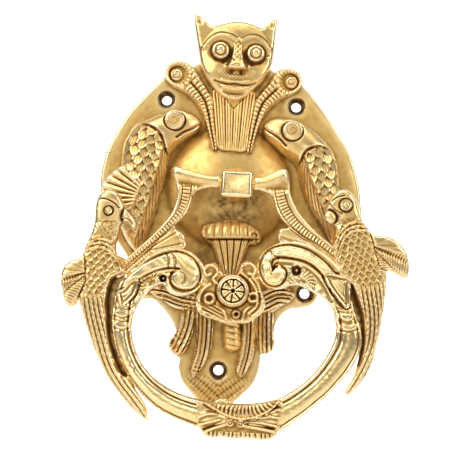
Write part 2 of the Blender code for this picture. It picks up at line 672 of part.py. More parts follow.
def build_rosette():
    acanthus = [
        (-4.6, -84.4), (0.4, -86.0), (5.6, -86.6), (10.0, -84.8), (14.2, -82.2),
        (16.4, -86.4), (19.0, -90.6), (21.4, -93.4), (20.6, -100.8), (16.0, -104.2),
        (12.2, -108.4), (6.2, -109.8), (0.3, -108.2), (-7.6, -106.2), (-11.9, -101.4),
        (-12.8, -95.2), (-10.2, -90.2), (-6.4, -87.4),
    ]
    mount = relief("rosette_mount", smooth_line(acanthus, 2), RING_BACK + 1.0, 24.0, [(1.6, 2.4)])
    pocket_radius, pocket_mouth = FLOWER_RADIUS + GAP, 30.0
    pocket = [
        (0.0, pocket_mouth), (pocket_radius, pocket_mouth),
        (pocket_radius, FLOWER_SEAT), (0.0, FLOWER_SEAT),
    ]
    cut(mount, turned("flower_pocket", pocket, FLOWER_CENTRE, steps=SMALL_TURNING))
    finish(mount, PALE, KNOCKER_HINGE)
    flower = [
        (0.0, 29.0), (1.4, 28.8), (2.0, 27.6), (5.0, 27.8), (FLOWER_RADIUS, 28.6),
        (FLOWER_RADIUS, FLOWER_SEAT + GAP), (0.0, FLOWER_SEAT + GAP),
    ]
    finish(turned("rosette_flower", flower, FLOWER_CENTRE, steps=SMALL_TURNING), POLISHED, KNOCKER_HINGE)


def build_striker():
    wrap = [
        (-6.4, -150.6), (0.0, -153.0), (12.0, -154.8), (24.0, -152.6), (31.2, -149.2),
        (33.0, -154.0), (27.6, -161.0), (24.0, -165.0), (12.0, -164.4), (0.0, -164.8),
        (-4.6, -162.4), (-9.0, -156.0),
    ]
    leaf = relief("clapper_leaf", wrap, RING_FRONT + GAP, RING_FRONT + 1.4, [(1.2, 1.4)])
    finish(leaf, PALE, KNOCKER_HINGE)
    boss = [
        (0.0, RING_BACK - GAP), (STRIKER_RADIUS, RING_BACK - GAP), (STRIKER_RADIUS, 7.2),
        (STRIKER_RADIUS - 0.8, 5.6), (STRIKER_RADIUS - 2.4, PLATE_THICKNESS + GAP),
        (0.0, PLATE_THICKNESS + GAP),
    ]
    finish(turned("striker_boss", boss, STRIKER_CENTRE, steps=SMALL_TURNING), POLISHED, KNOCKER_HINGE)


clear_scene()
PARTS = new_collection("door_knocker")
CUTTERS = new_collection("cutters")
MATTE = brass("matte_brass", BRASS, 0.45)
PALE = brass("pale_brass", PALE_BRASS, 0.35)
POLISHED = brass("polished_brass", PALE_BRASS, 0.2)

DOOR_FACE = bpy.data.objects.new("door_face", None)
PARTS.objects.link(DOOR_FACE)
KNOCKER_HINGE = bpy.data.objects.new("knocker_hinge", None)
KNOCKER_HINGE.location = (PIVOT[0] * MM, -PIVOT[1] * MM, PIVOT[2] * MM)
PARTS.objects.link(KNOCKER_HINGE)
bpy.context.view_layer.update()

SEAT = build_seat()
build_plate()
build_mask()
build_collar()
build_fish()
build_torch()
build_leaves()
build_lug()
build_pin()
build_arms()
build_ring()
build_parrots()
build_rosette()
build_striker()
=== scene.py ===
"""Looks of the cast brass door knocker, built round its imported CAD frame.

Lengths in the sculpting code are millimetres. A place on the object is (x, z), and a height is
a distance in front of the plate's back, so that a point of a mesh is (x, -height, z).
"""

import json
import math
from functools import partial

import bpy
import numpy as np
from mathutils import Matrix, Vector
from mathutils.geometry import delaunay_2d_cdt


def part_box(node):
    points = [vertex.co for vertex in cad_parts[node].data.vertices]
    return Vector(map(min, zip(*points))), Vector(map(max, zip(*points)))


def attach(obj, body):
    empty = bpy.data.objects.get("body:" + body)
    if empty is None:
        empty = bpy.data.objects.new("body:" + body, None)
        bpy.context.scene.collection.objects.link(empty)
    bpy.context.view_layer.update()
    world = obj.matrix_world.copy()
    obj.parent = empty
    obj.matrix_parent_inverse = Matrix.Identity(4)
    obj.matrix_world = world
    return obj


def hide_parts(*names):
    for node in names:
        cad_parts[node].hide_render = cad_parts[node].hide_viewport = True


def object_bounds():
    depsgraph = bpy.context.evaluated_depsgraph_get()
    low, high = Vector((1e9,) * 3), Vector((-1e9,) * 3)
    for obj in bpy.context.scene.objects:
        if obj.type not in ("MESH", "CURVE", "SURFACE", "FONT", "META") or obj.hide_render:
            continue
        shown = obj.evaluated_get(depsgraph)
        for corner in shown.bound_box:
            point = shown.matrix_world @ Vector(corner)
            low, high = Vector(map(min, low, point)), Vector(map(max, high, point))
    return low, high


MM = 0.001
CURVE_SPLITS = 12
GUIDE_STEP = 0.8
CHUNK = 4000
LEAST_WALL = 0.25
SHARP_ANGLE = math.radians(58)
TURNING_STEPS = 64
BACK_DARKENING = 0.22

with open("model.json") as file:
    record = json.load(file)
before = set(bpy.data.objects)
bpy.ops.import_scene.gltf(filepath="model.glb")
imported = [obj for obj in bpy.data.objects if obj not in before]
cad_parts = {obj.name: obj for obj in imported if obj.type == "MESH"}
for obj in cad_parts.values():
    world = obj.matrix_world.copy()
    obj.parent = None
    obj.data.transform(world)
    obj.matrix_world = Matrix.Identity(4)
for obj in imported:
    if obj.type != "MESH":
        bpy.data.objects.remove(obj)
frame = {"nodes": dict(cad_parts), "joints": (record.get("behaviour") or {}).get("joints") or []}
CAD_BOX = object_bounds()


def heights_of(node):
    """(back, front) height of a CAD node."""
    low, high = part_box(node)
    return -high.y / MM, -low.y / MM


# ---------------------------------------------------------------- lines and distances

def curve_through(points, step=0.5, closed=True):
    """Points a step apart along a Catmull-Rom curve."""
    points = np.asarray(points, float)
    count = len(points)
    t = (np.arange(CURVE_SPLITS) / CURVE_SPLITS)[:, None]
    rows = []
    for index in range(count if closed else count - 1):
        if closed:
            a, b, c, d = (points[(index + shift) % count] for shift in (-1, 0, 1, 2))
        else:
            a, b, c, d = (points[min(max(index + shift, 0), count - 1)] for shift in (-1, 0, 1, 2))
        cubic = (2 * a - 5 * b + 4 * c - d) * t**2 + (3 * b - a - 3 * c + d) * t**3
        rows.append(b + 0.5 * ((c - a) * t + cubic))
    rows.append(points[:1] if closed else points[-1:])
    line = np.concatenate(rows)
    length = np.r_[0, np.cumsum(np.hypot(*np.diff(line, axis=0).T))]
    spans = max(int(round(length[-1] / step)), 3)
    places = np.linspace(0, length[-1], spans + 1)
    even = np.column_stack([np.interp(places, length, column) for column in line.T])
    return even[:-1] if closed else even


def circle(centre, radius, step=0.5):
    turn = np.linspace(0, math.tau, max(int(math.tau * radius / step), 12), endpoint=False)
    return np.column_stack([centre[0] + radius * np.cos(turn), centre[1] + radius * np.sin(turn)])


def nearest(line, points):
    """(distance, arc length, side) of each point's nearest place on an open line."""
    start = line[:-1]
    along = np.diff(line, axis=0)
    squared = np.maximum((along**2).sum(1), 1e-12)
    length = np.r_[0, np.cumsum(np.sqrt(squared))]
    found = []
    for low in range(0, len(points), CHUNK):
        offset = points[low : low + CHUNK, None, :] - start[None]
        share = np.clip((offset * along).sum(2) / squared, 0, 1)
        gap = ((offset - share[..., None] * along) ** 2).sum(2)
        best = gap.argmin(1)
        row = np.arange(len(best))
        share = share[row, best]
        offset = offset[row, best]
        side = np.sign(along[best, 0] * offset[:, 1] - along[best, 1] * offset[:, 0])
        arc = length[best] + share * np.sqrt(squared[best])
        found.append(np.column_stack([np.sqrt(gap[row, best]), arc, side]))
    return np.concatenate(found).T


def loop_gap(loop, points):
    """Distance to a closed line."""
    return nearest(np.vstack([loop, loop[:1]]), points)[0]


def distance(points, path, closed=False):
    line = curve_through(path, GUIDE_STEP, closed)
    return loop_gap(line, points) if closed else nearest(line, points)[0]


def follow(path, points):
    """(arc length, signed offset) of each point beside an open path."""
    gap, arc, side = nearest(curve_through(path, GUIDE_STEP, closed=False), points)
    return arc, gap * side


def between(first, second, points):
    """(arc length, place across from -1 on the first line to 1 on the second) of a band."""
    one = nearest(curve_through(first, GUIDE_STEP, closed=False), points)
    two = nearest(curve_through(second, GUIDE_STEP, closed=False), points)
    return (one[1] + two[1]) / 2, (one[0] - two[0]) / (one[0] + two[0] + 1e-6)


def inside(outline, points):
    x, z = points.T
    hit = np.zeros(len(points), bool)
    for (ax, az), (bx, bz) in zip(outline, np.roll(outline, -1, axis=0)):
        if az != bz:
            hit ^= ((az > z) != (bz > z)) & (x < (bx - ax) * (z - az) / (bz - az) + ax)
    return hit


def depth_in(points, outline):
    """Distance to a closed outline, negative outside it."""
    line = curve_through(outline, GUIDE_STEP)
    gap = loop_gap(line, points)
    return np.where(inside(line, points), gap, -gap)


# ---------------------------------------------------------------- sculpting marks

def ease(value):
    value = np.clip(value, 0, 1)
    return value * value * (3 - 2 * value)


def round_over(depth, radius):
    """0 to 1 over a quarter round that starts at an edge."""
    inward = np.clip(depth / radius, 0, 1)
    return np.sqrt(1 - (1 - inward) ** 2)


def reach_from(points, centre):
    return np.hypot(*(points - centre).T)


def bell(value, width):
    """1 at 0, falling smoothly on both sides."""
    return np.exp(-((value / width) ** 2))


def bow(place):
    """Half a circle: 1 at 0, and 0 at -1 and 1."""
    return np.sqrt(np.clip(1 - place**2, 0, 1))


def shifted(path, right, up):
    return [(x + right, z + up) for x, z in path]


def line_mark(points, path, width, closed=False):
    return bell(distance(points, path, closed), width)


def ring_mark(points, centre, radius, width):
    return bell(reach_from(points, centre) - radius, width)


def cap(points, centre, radius):
    return np.sqrt(np.clip(1 - ((points - centre) ** 2).sum(1) / radius**2, 0, 1))



def mound(points, centre, radius, stretch=(1.0, 1.0)):
    offset = (points - centre) / stretch
    return np.exp(-(offset**2).sum(1) / radius**2)


def notches(along, pitch, share=0.5):
    """Rounded ridges across a band, with narrow grooves between them."""
    return np.abs(np.sin(math.pi * along / pitch)) ** share


def marks(points, lines=(), mounds=()):
    """A sum of (height, width, path) ridges and of (height, centre, radius, stretch) mounds."""
    total = np.zeros(len(points))
    for height, width, path in lines:
        total += height * line_mark(points, path, width)
    for height, centre, radius, *stretch in mounds:
        total += height * mound(points, centre, radius, *stretch)
    return total


def wobble(points, size, seed=0.0):
    """Smooth unevenness from -1 to 1, as a file and a casting leave it."""
    x, z = points.T / size
    x = x + 1.4 * np.sin(0.61 * z + 0.23 * x + seed)
    z = z + 1.4 * np.sin(0.47 * x - 0.31 * z + 1.9 * seed)
    total = np.sin(1.7 * x + 0.6 * z + seed) + np.sin(-0.8 * x + 1.9 * z + 2.1 * seed + 1.3)
    total += np.sin(1.1 * x - 1.5 * z + 3.7 * seed + 0.4) + np.sin(2.6 * x + 2.3 * z + 0.7 * seed)
    return total / 4


def spiral_mark(points, centre, radius, turns, start, hand, width):
    """A groove that winds in from a radius to its centre."""
    x, z = (points - centre).T
    reach = np.hypot(x, z)
    turned = (hand * (np.arctan2(z, x) - start)) % math.tau / math.tau
    gap = np.full(len(points), 99.0)
    for lap in range(int(math.ceil(turns)) + 1):
        swept = turned + lap
        line = radius * (1 - swept / turns)
        gap = np.where(swept <= turns, np.minimum(gap, np.abs(reach - line)), gap)
    return bell(gap, width)


def shingles(along, across, pitch, width, ticks=0.0, wander=0.0):
    """Overlapping scales, 0 at the root and 1 at the free edge, which points along the body."""
    radius = width * 0.54
    level = np.zeros(len(along))
    open_still = np.ones(len(along), bool)
    first = np.floor((along - radius) / pitch)
    for step in range(4):
        row = first + step
        stagger = 0.5 * (row % 2) + wander * np.sin(row * 2.4)
        column = np.round(across / width - stagger)
        jitter = wander * np.sin(12.9 * row + 7.3 * column)
        aside = across - (column + stagger) * width
        tip = row * pitch + radius * (1 + jitter) - np.abs(aside) ** 2.4 / radius**1.4 * 0.9
        back_from_tip = tip - along
        covered = open_still & (back_from_tip >= 0)
        share = np.clip(1 - back_from_tip / (pitch * 1.9), 0, 1)
        marks = np.zeros(len(along))
        for place in (-0.26, 0.0, 0.26):
            marks = np.maximum(marks, np.exp(-(((aside / width) - place) / 0.05) ** 2))
        marks *= (back_from_tip > pitch * 0.22) & (back_from_tip < pitch * 0.85)
        level = np.where(covered, share**1.4 - ticks * marks, level)
        open_still &= ~covered
    return level


# ---------------------------------------------------------------- meshes

class Sheet:
    """A flat region cut into small triangles, whose points are raised to make a carving."""

    def __init__(self, outline, step=0.5, holes=()):
        loops = [curve_through(outline, step), *holes]
        rim = np.concatenate(loops)
        ends = np.cumsum([0] + [len(loop) for loop in loops])
        edges = []
        for low, high in zip(ends[:-1], ends[1:]):
            edges += [(place, place + 1 if place + 1 < high else low) for place in range(low, high)]
        low, high = rim.min(0), rim.max(0)
        rise = step * math.sqrt(3) / 2
        rows = np.arange(low[1], high[1], rise)
        columns = np.arange(low[0], high[0], step)
        x, z = np.meshgrid(columns, rows)
        x[1::2] += step / 2
        grid = np.column_stack([x.ravel(), z.ravel()])
        grid = grid[self.within(loops, grid)]
        gap = self.rim_gap(loops, grid)
        grid = grid[gap > step * 0.85]
        inner = []
        for loop in loops:
            tangent = np.roll(loop, -1, axis=0) - np.roll(loop, 1, axis=0)
            normal = np.column_stack([-tangent[:, 1], tangent[:, 0]])
            normal /= np.maximum(np.hypot(*normal.T), 1e-9)[:, None]
            for side in (-1, 1):
                inner.append(loop + side * normal * step * 0.32)
        inner = np.concatenate(inner)
        inner = inner[self.within(loops, inner)]
        inner = inner[self.rim_gap(loops, inner) > step * 0.25]
        cloud = np.concatenate([rim, inner, grid])
        made = delaunay_2d_cdt([Vector(point) for point in cloud], edges, [], 0, 1e-7)
        self.points = np.array([tuple(point) for point in made[0]])
        faces = np.array(made[2])
        faces = faces[self.within(loops, self.points[faces].mean(1))]
        a, b, c = (self.points[faces[:, corner]] for corner in range(3))
        turn = np.cross(b - a, c - a)
        faces = faces[np.abs(turn) > 1e-9]
        turn = turn[np.abs(turn) > 1e-9]
        faces[turn < 0] = faces[turn < 0][:, ::-1]
        used = np.unique(faces)
        renumber = np.full(len(self.points), -1)
        renumber[used] = np.arange(len(used))
        self.points, self.faces = self.points[used], renumber[faces]
        sides = np.concatenate([self.faces[:, [0, 1]], self.faces[:, [1, 2]], self.faces[:, [2, 0]]])
        key = np.sort(sides, axis=1)
        _, back, count = np.unique(key, axis=0, return_inverse=True, return_counts=True)
        self.border = sides[count[back.reshape(-1)] == 1]
        self.on_rim = np.zeros(len(self.points), bool)
        self.on_rim[self.border] = True
        self.loops = loops

    @staticmethod
    def within(loops, points):
        keep = inside(loops[0], points)
        for hole in loops[1:]:
            keep &= ~inside(hole, points)
        return keep

    @staticmethod
    def rim_gap(loops, points):
        return np.minimum.reduce([loop_gap(loop, points) for loop in loops])

    def edge(self):
        """Distance in from the outline."""
        return self.rim_gap(self.loops, self.points)

    def swell(self):
        """A full-round height: half the local width along the middle, and 0 along the outline."""
        corner = [self.points[self.faces[:, place]] for place in range(3)]
        count = len(self.points)
        area = np.zeros(count)
        ends, weights = [], []
        whole = np.abs(np.cross(corner[1] - corner[0], corner[2] - corner[0])) / 2
        for place in range(3):
            area += np.bincount(self.faces[:, place], whole / 3, count)
            one, two = corner[(place + 1) % 3], corner[(place + 2) % 3]
            across, down = one - corner[place], two - corner[place]
            cotangent = (across * down).sum(1) / np.maximum(2 * whole, 1e-9)
            ends.append(self.faces[:, [(place + 1) % 3, (place + 2) % 3]])
            weights.append(np.clip(cotangent / 2, 0, 20))
        ends, weights = np.concatenate(ends), np.concatenate(weights)
        free = ~self.on_rim
        full = np.maximum(
            np.bincount(ends[:, 0], weights, count) + np.bincount(ends[:, 1], weights, count), 1e-9
        )

        def stiffness(value):
            pull = weights * (value[ends[:, 0]] - value[ends[:, 1]])
            total = np.bincount(ends[:, 0], pull, count) - np.bincount(ends[:, 1], pull, count)
            return total * free

        value = np.zeros(count)
        rest = 2 * area * free
        ahead = rest / full
        direction = ahead.copy()
        energy = rest @ ahead
        for _ in range(600):
            pushed = stiffness(direction)
            step = energy / (direction @ pushed)
            value += step * direction
            rest -= step * pushed
            ahead = rest / full
            following = rest @ ahead
            if following < 1e-10 * count:
                break
            direction = ahead + following / energy * direction
            energy = following
        return np.sqrt(np.maximum(value, 0))


def neighbours_of(faces):
    ends = np.concatenate([faces[:, [0, 1]], faces[:, [1, 2]], faces[:, [2, 0]]])
    return np.concatenate([ends, ends[:, ::-1]])


def smooth_over(values, ends, rounds):
    """Values averaged with their neighbours' a number of times."""
    count = len(values)
    share = np.bincount(ends[:, 0], minlength=count)
    for _ in range(rounds):
        pulled = [np.bincount(ends[:, 0], column[ends[:, 1]], count) / share for column in values.T]
        values = 0.5 * values + 0.5 * np.column_stack(pulled)
    return values


def cavity_of(corners, faces):
    """How far each point lies below its surroundings: positive in recesses, negative on ridges."""
    a, b, c = (corners[faces[:, place]] for place in range(3))
    facing = np.cross(b - a, c - a)
    normal = np.zeros_like(corners)
    for place in range(3):
        for axis in range(3):
            normal[:, axis] += np.bincount(faces[:, place], facing[:, axis], len(corners))
    normal /= np.maximum(np.linalg.norm(normal, axis=1), 1e-12)[:, None]
    ends = neighbours_of(faces)
    fine = smooth_over(corners, ends, 4)
    wide = smooth_over(fine, ends, 26)
    near = ((fine - corners) * normal).sum(1)
    far = ((wide - corners) * normal).sum(1)
    return np.tanh(near / 0.16) * 0.42 + np.tanh(far / 0.65) * 0.58


def mesh_object(name, corners, faces, slot, tint=None):
    """A closed mesh from points in millimetres, with its recesses and its darkening tint kept for the
    material, which paints patina and shade into the recesses, and stains and shade from the tint.
    """
    faces = np.asarray(faces)
    a, b, c = (corners[faces[:, place]] for place in range(3))
    if (a * np.cross(b, c)).sum() < 0:
        faces = faces[:, ::-1]
    mesh = bpy.data.meshes.new(name)
    mesh.from_pydata((corners * MM).tolist(), [], faces.tolist())
    mesh.shade_smooth()
    mesh.set_sharp_from_angle(angle=SHARP_ANGLE)
    cavity = mesh.attributes.new("cavity", "FLOAT", "POINT")
    cavity.data.foreach_set("value", cavity_of(corners, faces).astype(np.float32))
    stain_and_shade = mesh.attributes.new("grime_and_shade", "FLOAT", "POINT")
    darkening = np.zeros(len(corners)) if tint is None else tint
    stain_and_shade.data.foreach_set("value", darkening.astype(np.float32))
    mesh.materials.append(BRASS[slot])
    obj = bpy.data.objects.new(name, mesh)
    bpy.context.scene.collection.objects.link(obj)
    return obj


def carving(name, sheet, front, back, slot, grime_and_shade=None):
    """A solid between two heights over a sheet, with a wall along its outline."""
    back = np.broadcast_to(np.asarray(back, float), front.shape).copy()
    front = np.maximum(front, back + LEAST_WALL)
    x, z = sheet.points.T
    count = len(x)
    corners = np.concatenate([np.column_stack([x, -front, z]), np.column_stack([x, -back, z])])
    one, two = sheet.border.T
    wall = np.concatenate(
        [np.column_stack([two, one, one + count]), np.column_stack([two, one + count, two + count])]
    )
    faces = np.concatenate([sheet.faces, sheet.faces[:, ::-1] + count, wall])
    # The backs of the carvings are darkened a little.
    tint = None if grime_and_shade is None else np.r_[grime_and_shade, np.full(count, BACK_DARKENING)]
    return mesh_object(name, corners, faces, slot, tint)


def turned(name, profile, centre, slot, wear):
    """A turned piece about an axis square to the plate, from a smooth (radius, height) profile."""
    line = curve_through(profile, 0.35, closed=False)
    steps = TURNING_STEPS
    angles = np.linspace(0, math.tau, steps, endpoint=False)
    radius = np.maximum(line[:, 0], 0.0)
    uneven = 1 + wear * np.sin(3 * angles + 0.7) + wear * 0.6 * np.sin(5 * angles)
    x = centre[0] + radius[:, None] * np.cos(angles) * uneven
    z = centre[1] + radius[:, None] * np.sin(angles) * uneven
    height = np.repeat(line[:, 1], steps).reshape(x.shape)
    corners = np.column_stack([x.ravel(), -height.ravel(), z.ravel()])
    faces = []
    for row in range(len(line) - 1):
        for place in range(steps):
            after = (place + 1) % steps
            a, b = row * steps + place, row * steps + after
            faces += [(a, b, b + steps), (a, b + steps, a + steps)]
    for row, order in ((0, 1), (len(line) - 1, -1)):
        corners = np.vstack([corners, [centre[0], -line[row, 1], centre[1]]])
        hub = len(corners) - 1
        for place in range(steps):
            pair = (row * steps + place, row * steps + (place + 1) % steps)
            faces.append((hub, *pair[::-1]) if order > 0 else (hub, *pair))
    return mesh_object(name, corners, faces, slot)


# ---------------------------------------------------------------- materials

class Nodes:
    """Short calls for building a material's node tree."""

    def __init__(self, name):
        self.material = bpy.data.materials.new(name)
        self.material.use_nodes = True
        self.tree = self.material.node_tree
        self.shader = self.tree.nodes["Principled BSDF"]

    def add(self, kind, inputs=None, **settings):
        node = self.tree.nodes.new(kind)
        for key, value in settings.items():
            setattr(node, key, value)
        for key, value in (inputs or {}).items():
            if isinstance(value, bpy.types.NodeSocket):
                self.tree.links.new(value, node.inputs[key])
            else:
                node.inputs[key].default_value = value
        return node

    def noise(self, place, scale, detail=3.0, roughness=0.55):
        inputs = {"Vector": place, "Scale": scale, "Detail": detail, "Roughness": roughness}
        return self.add("ShaderNodeTexNoise", inputs).outputs["Fac"]

    def math(self, operation, first, second=0.0, clamp=False):
        node = self.add("ShaderNodeMath", {0: first, 1: second}, operation=operation, use_clamp=clamp)
        return node.outputs[0]

    def ramp(self, value, stops):
        node = self.add("ShaderNodeValToRGB", {"Fac": value})
        elements = node.color_ramp.elements
        while len(elements) < len(stops):
            elements.new(0.5)
        for element, (place, colour) in zip(elements, stops):
            element.position = place
            element.color = (*colour, 1.0)
        return node.outputs["Color"]

    def spread(self, value, low, high, to_low=0.0, to_high=1.0):
        inputs = {"Value": value, "From Min": low, "From Max": high, "To Min": to_low, "To Max": to_high}
        return self.add("ShaderNodeMapRange", inputs).outputs["Result"]

    def mix(self, share, first, second, blend="MIX"):
        node = self.add("ShaderNodeMix", data_type="RGBA", blend_type=blend)
        for socket, value in ((node.inputs[0], share), (node.inputs[6], first), (node.inputs[7], second)):
            if isinstance(value, bpy.types.NodeSocket):
                self.tree.links.new(value, socket)
            else:
                socket.default_value = value if socket.type == "VALUE" else (*value, 1.0)
        return node.outputs[2]


def brass(name, edge, body, recess, blush, roughness, grain):
    """Cast brass: pale edges from wear and painted highlight, a warm body, brown recesses from patina and
    painted shade, and a fine cast grain.
    """
    nodes = Nodes(name)
    place = nodes.add("ShaderNodeTexCoord").outputs["Object"]
    cavity = nodes.add("ShaderNodeAttribute", attribute_name="cavity").outputs["Fac"]
    grime_and_shade = nodes.add("ShaderNodeAttribute", attribute_name="grime_and_shade").outputs["Fac"]
    patches = nodes.noise(place, 42.0, 2.0)
    mottle = nodes.noise(place, 260.0, 4.0, 0.6)
    pits = nodes.noise(place, 1500.0, 3.0, 0.7)
    # Painted light from the cavity attribute: ridges take the pale edge colour (wear and painted highlight),
    # recesses the brown recess colour (patina and painted shade), and the deepest recesses go near-black
    # (painted shade).
    depth = nodes.math("MULTIPLY", cavity, 0.5)
    depth = nodes.math("ADD", depth, 0.5)
    depth = nodes.math("ADD", depth, nodes.math("MULTIPLY", nodes.math("SUBTRACT", mottle, 0.5), 0.22))
    stops = [(0.14, edge), (0.43, body), (0.64, recess), (0.92, DARK_STAIN_AND_SHADE)]
    colour = nodes.ramp(depth, stops)
    warm = nodes.spread(patches, 0.44, 0.62)
    colour = nodes.mix(nodes.math("MULTIPLY", warm, 0.55), colour, blush, "MULTIPLY")
    # Mixes toward dark brown by the per-point darkening attribute: real braze stains, and painted shade
    # where reliefs meet the plate and round the parrots' beaks.
    stain_and_shade = nodes.math("MULTIPLY", grime_and_shade, nodes.spread(mottle, 0.25, 0.6, 0.55, 1.25), clamp=True)
    colour = nodes.mix(stain_and_shade, colour, DARK_STAIN_AND_SHADE)
    shine = nodes.spread(depth, 0.25, 0.85, roughness * 0.78, roughness * 1.75)
    shine = nodes.math("ADD", shine, nodes.spread(mottle, 0.3, 0.7, -0.05, 0.06))
    shine = nodes.math("ADD", shine, nodes.math("MULTIPLY", grime_and_shade, 0.25), clamp=True)
    height = nodes.math("ADD", nodes.math("MULTIPLY", mottle, 0.6), nodes.math("MULTIPLY", pits, 0.4))
    bump = nodes.add("ShaderNodeBump", {"Height": height, "Strength": grain, "Distance": 0.00025})
    nodes.tree.links.new(colour, nodes.shader.inputs["Base Color"])
    nodes.tree.links.new(shine, nodes.shader.inputs["Roughness"])
    nodes.tree.links.new(bump.outputs["Normal"], nodes.shader.inputs["Normal"])
    nodes.shader.inputs["Metallic"].default_value = 1.0
    return nodes.material


# Near-black brown: real braze stains, and painted shade in the deepest recesses and where parts meet.
DARK_STAIN_AND_SHADE = (0.105, 0.048, 0.014)
# Each finish: edge, body, recess and blush colours, roughness, grain. The edge colour is partly a painted
# highlight and the recess colour partly painted shade.
FINISHES = {
    "plate_brass": (
        (0.90, 0.68, 0.34), (0.79, 0.53, 0.185), (0.46, 0.255, 0.058), (0.98, 0.92, 0.78), 0.40, 0.36,
    ),
    "relief_brass": (
        (0.95, 0.76, 0.46), (0.82, 0.57, 0.225), (0.39, 0.215, 0.050), (1.0, 0.92, 0.82), 0.35, 0.34,
    ),
    "polished_brass": (
        (0.97, 0.82, 0.54), (0.90, 0.67, 0.30), (0.42, 0.235, 0.056), (1.0, 0.94, 0.86), 0.24, 0.12,
    ),
}
BRASS = {slot: brass(slot, *finish) for slot, finish in FINISHES.items()}


def glowing_stage():
    nodes = Nodes("glowing_studio_paper")
    place = nodes.add("ShaderNodeTexCoord").outputs["Object"]
    fibre = nodes.noise(place, 900.0, 3.0)
    colour = nodes.ramp(fibre, [(0.3, (0.90, 0.90, 0.90)), (0.7, (0.94, 0.94, 0.94))])
    nodes.tree.links.new(colour, nodes.shader.inputs["Base Color"])
    nodes.shader.inputs["Roughness"].default_value = 0.9
    # Painted light: the paper glows, faintly on the floor in front and strongly on the far wall.
    parts = nodes.add("ShaderNodeSeparateXYZ", {"Vector": place})
    glow = nodes.spread(parts.outputs["Y"], 0.1, 0.8, 0.05, 0.95)
    nodes.tree.links.new(glow, nodes.shader.inputs["Emission Strength"])
    nodes.shader.inputs["Emission Color"].default_value = (1.0, 1.0, 1.0, 1.0)
    return nodes.material


# ---------------------------------------------------------------- stage, lights and camera

def build_stage():
    """A pale sweep that glows (painted light): a floor well below the knocker that curves up into a wall far
    behind it.
    """
    front, turn_start, wall, floor, top, half_width = -2.2, 0.75, 1.25, -0.36, 2.4, 2.4
    radius = wall - turn_start
    line = [(front, floor)]
    for step in range(13):
        angle = math.radians(90 * step / 12)
        line.append((turn_start + radius * math.sin(angle), floor + radius * (1 - math.cos(angle))))
    line.append((wall, top))
    corners = [(side * half_width, y, z) for y, z in line for side in (-1, 1)]
    faces = [(2 * k, 2 * k + 1, 2 * k + 3, 2 * k + 2) for k in range(len(line) - 1)]
    mesh = bpy.data.meshes.new("studio_sweep")
    mesh.from_pydata(corners, [], faces)
    mesh.shade_smooth()
    mesh.materials.append(glowing_stage())
    sweep = bpy.data.objects.new("studio_sweep", mesh)
    bpy.context.scene.collection.objects.link(sweep)


def softbox(name, place, target, size, watts):
    data = bpy.data.lights.new(name, "AREA")
    data.shape = "RECTANGLE"
    data.size, data.size_y = size
    data.energy = watts
    lamp = bpy.data.objects.new(name, data)
    lamp.location = place
    lamp.rotation_euler = (Vector(target) - Vector(place)).to_track_quat("-Z", "Y").to_euler()
    bpy.context.scene.collection.objects.link(lamp)


def build_lights(middle):
    softbox("key_left", (-0.62, -0.62, 0.42), middle, (0.50, 0.70), 4.6)
    softbox("key_right", (0.70, -0.50, 0.30), middle, (0.34, 0.70), 2.6)
    softbox("top_strip", (0.0, -0.30, 0.80), middle, (0.90, 0.30), 2.8)
    softbox("front_fill", (0.05, -1.10, 0.12), middle, (0.30, 0.30), 0.9)
    softbox("low_fill", (-0.20, -0.60, -0.32), middle, (0.60, 0.16), 0.20)
    softbox("rear", (0.0, 0.75, 0.50), middle, (1.0, 0.6), 0.35)


def build_world():
    """A grey studio: light overhead, darker round the sides and below."""
    world = bpy.data.worlds.new("studio")
    world.use_nodes = True
    tree = world.node_tree
    place = tree.nodes.new("ShaderNodeTexCoord")
    parts = tree.nodes.new("ShaderNodeSeparateXYZ")
    ramp = tree.nodes.new("ShaderNodeValToRGB")
    shift = tree.nodes.new("ShaderNodeMapRange")
    shift.inputs["From Min"].default_value = -1.0
    tree.links.new(place.outputs["Generated"], parts.inputs["Vector"])
    tree.links.new(parts.outputs["Z"], shift.inputs["Value"])
    tree.links.new(shift.outputs["Result"], ramp.inputs["Fac"])
    elements = ramp.color_ramp.elements
    elements[0].position, elements[0].color = 0.15, (0.16, 0.15, 0.14, 1)
    elements[1].position, elements[1].color = 0.95, (0.75, 0.75, 0.75, 1)
    middle = elements.new(0.5)
    middle.color = (0.36, 0.35, 0.34, 1)
    tree.links.new(ramp.outputs["Color"], tree.nodes["Background"].inputs["Color"])
    tree.nodes["Background"].inputs["Strength"].default_value = 0.5
    bpy.context.scene.world = world
    bpy.context.scene.view_settings.view_transform = "Standard"


def build_camera(low, high):
    """Looks up a little from below the middle, and is rolled against the hang of the knocker."""
    elevation, roll, reach, drop = math.radians(-5.4), math.radians(3.1), 0.5, 0.0016
    front = low.y
    target = Vector((0.0, front * 0.2, (low.z + high.z) / 2 - drop))
    back = Vector((0.0, -math.cos(elevation), math.sin(elevation)))
    right = Vector((1.0, 0.0, 0.0))
    up = back.cross(right)
    rolled_right = right * math.cos(roll) + up * math.sin(roll)
    rolled_up = up * math.cos(roll) - right * math.sin(roll)
    data = bpy.data.cameras.new("camera")
    data.lens, data.sensor_width = 80.0, 36.0
    camera = bpy.data.objects.new("camera", data)
    turn = Matrix((rolled_right, rolled_up, back)).transposed().to_4x4()
    camera.matrix_world = Matrix.Translation(target + back * reach) @ turn
    bpy.context.scene.collection.objects.link(camera)
    bpy.context.scene.camera = camera


# ---------------------------------------------------------------- plate side

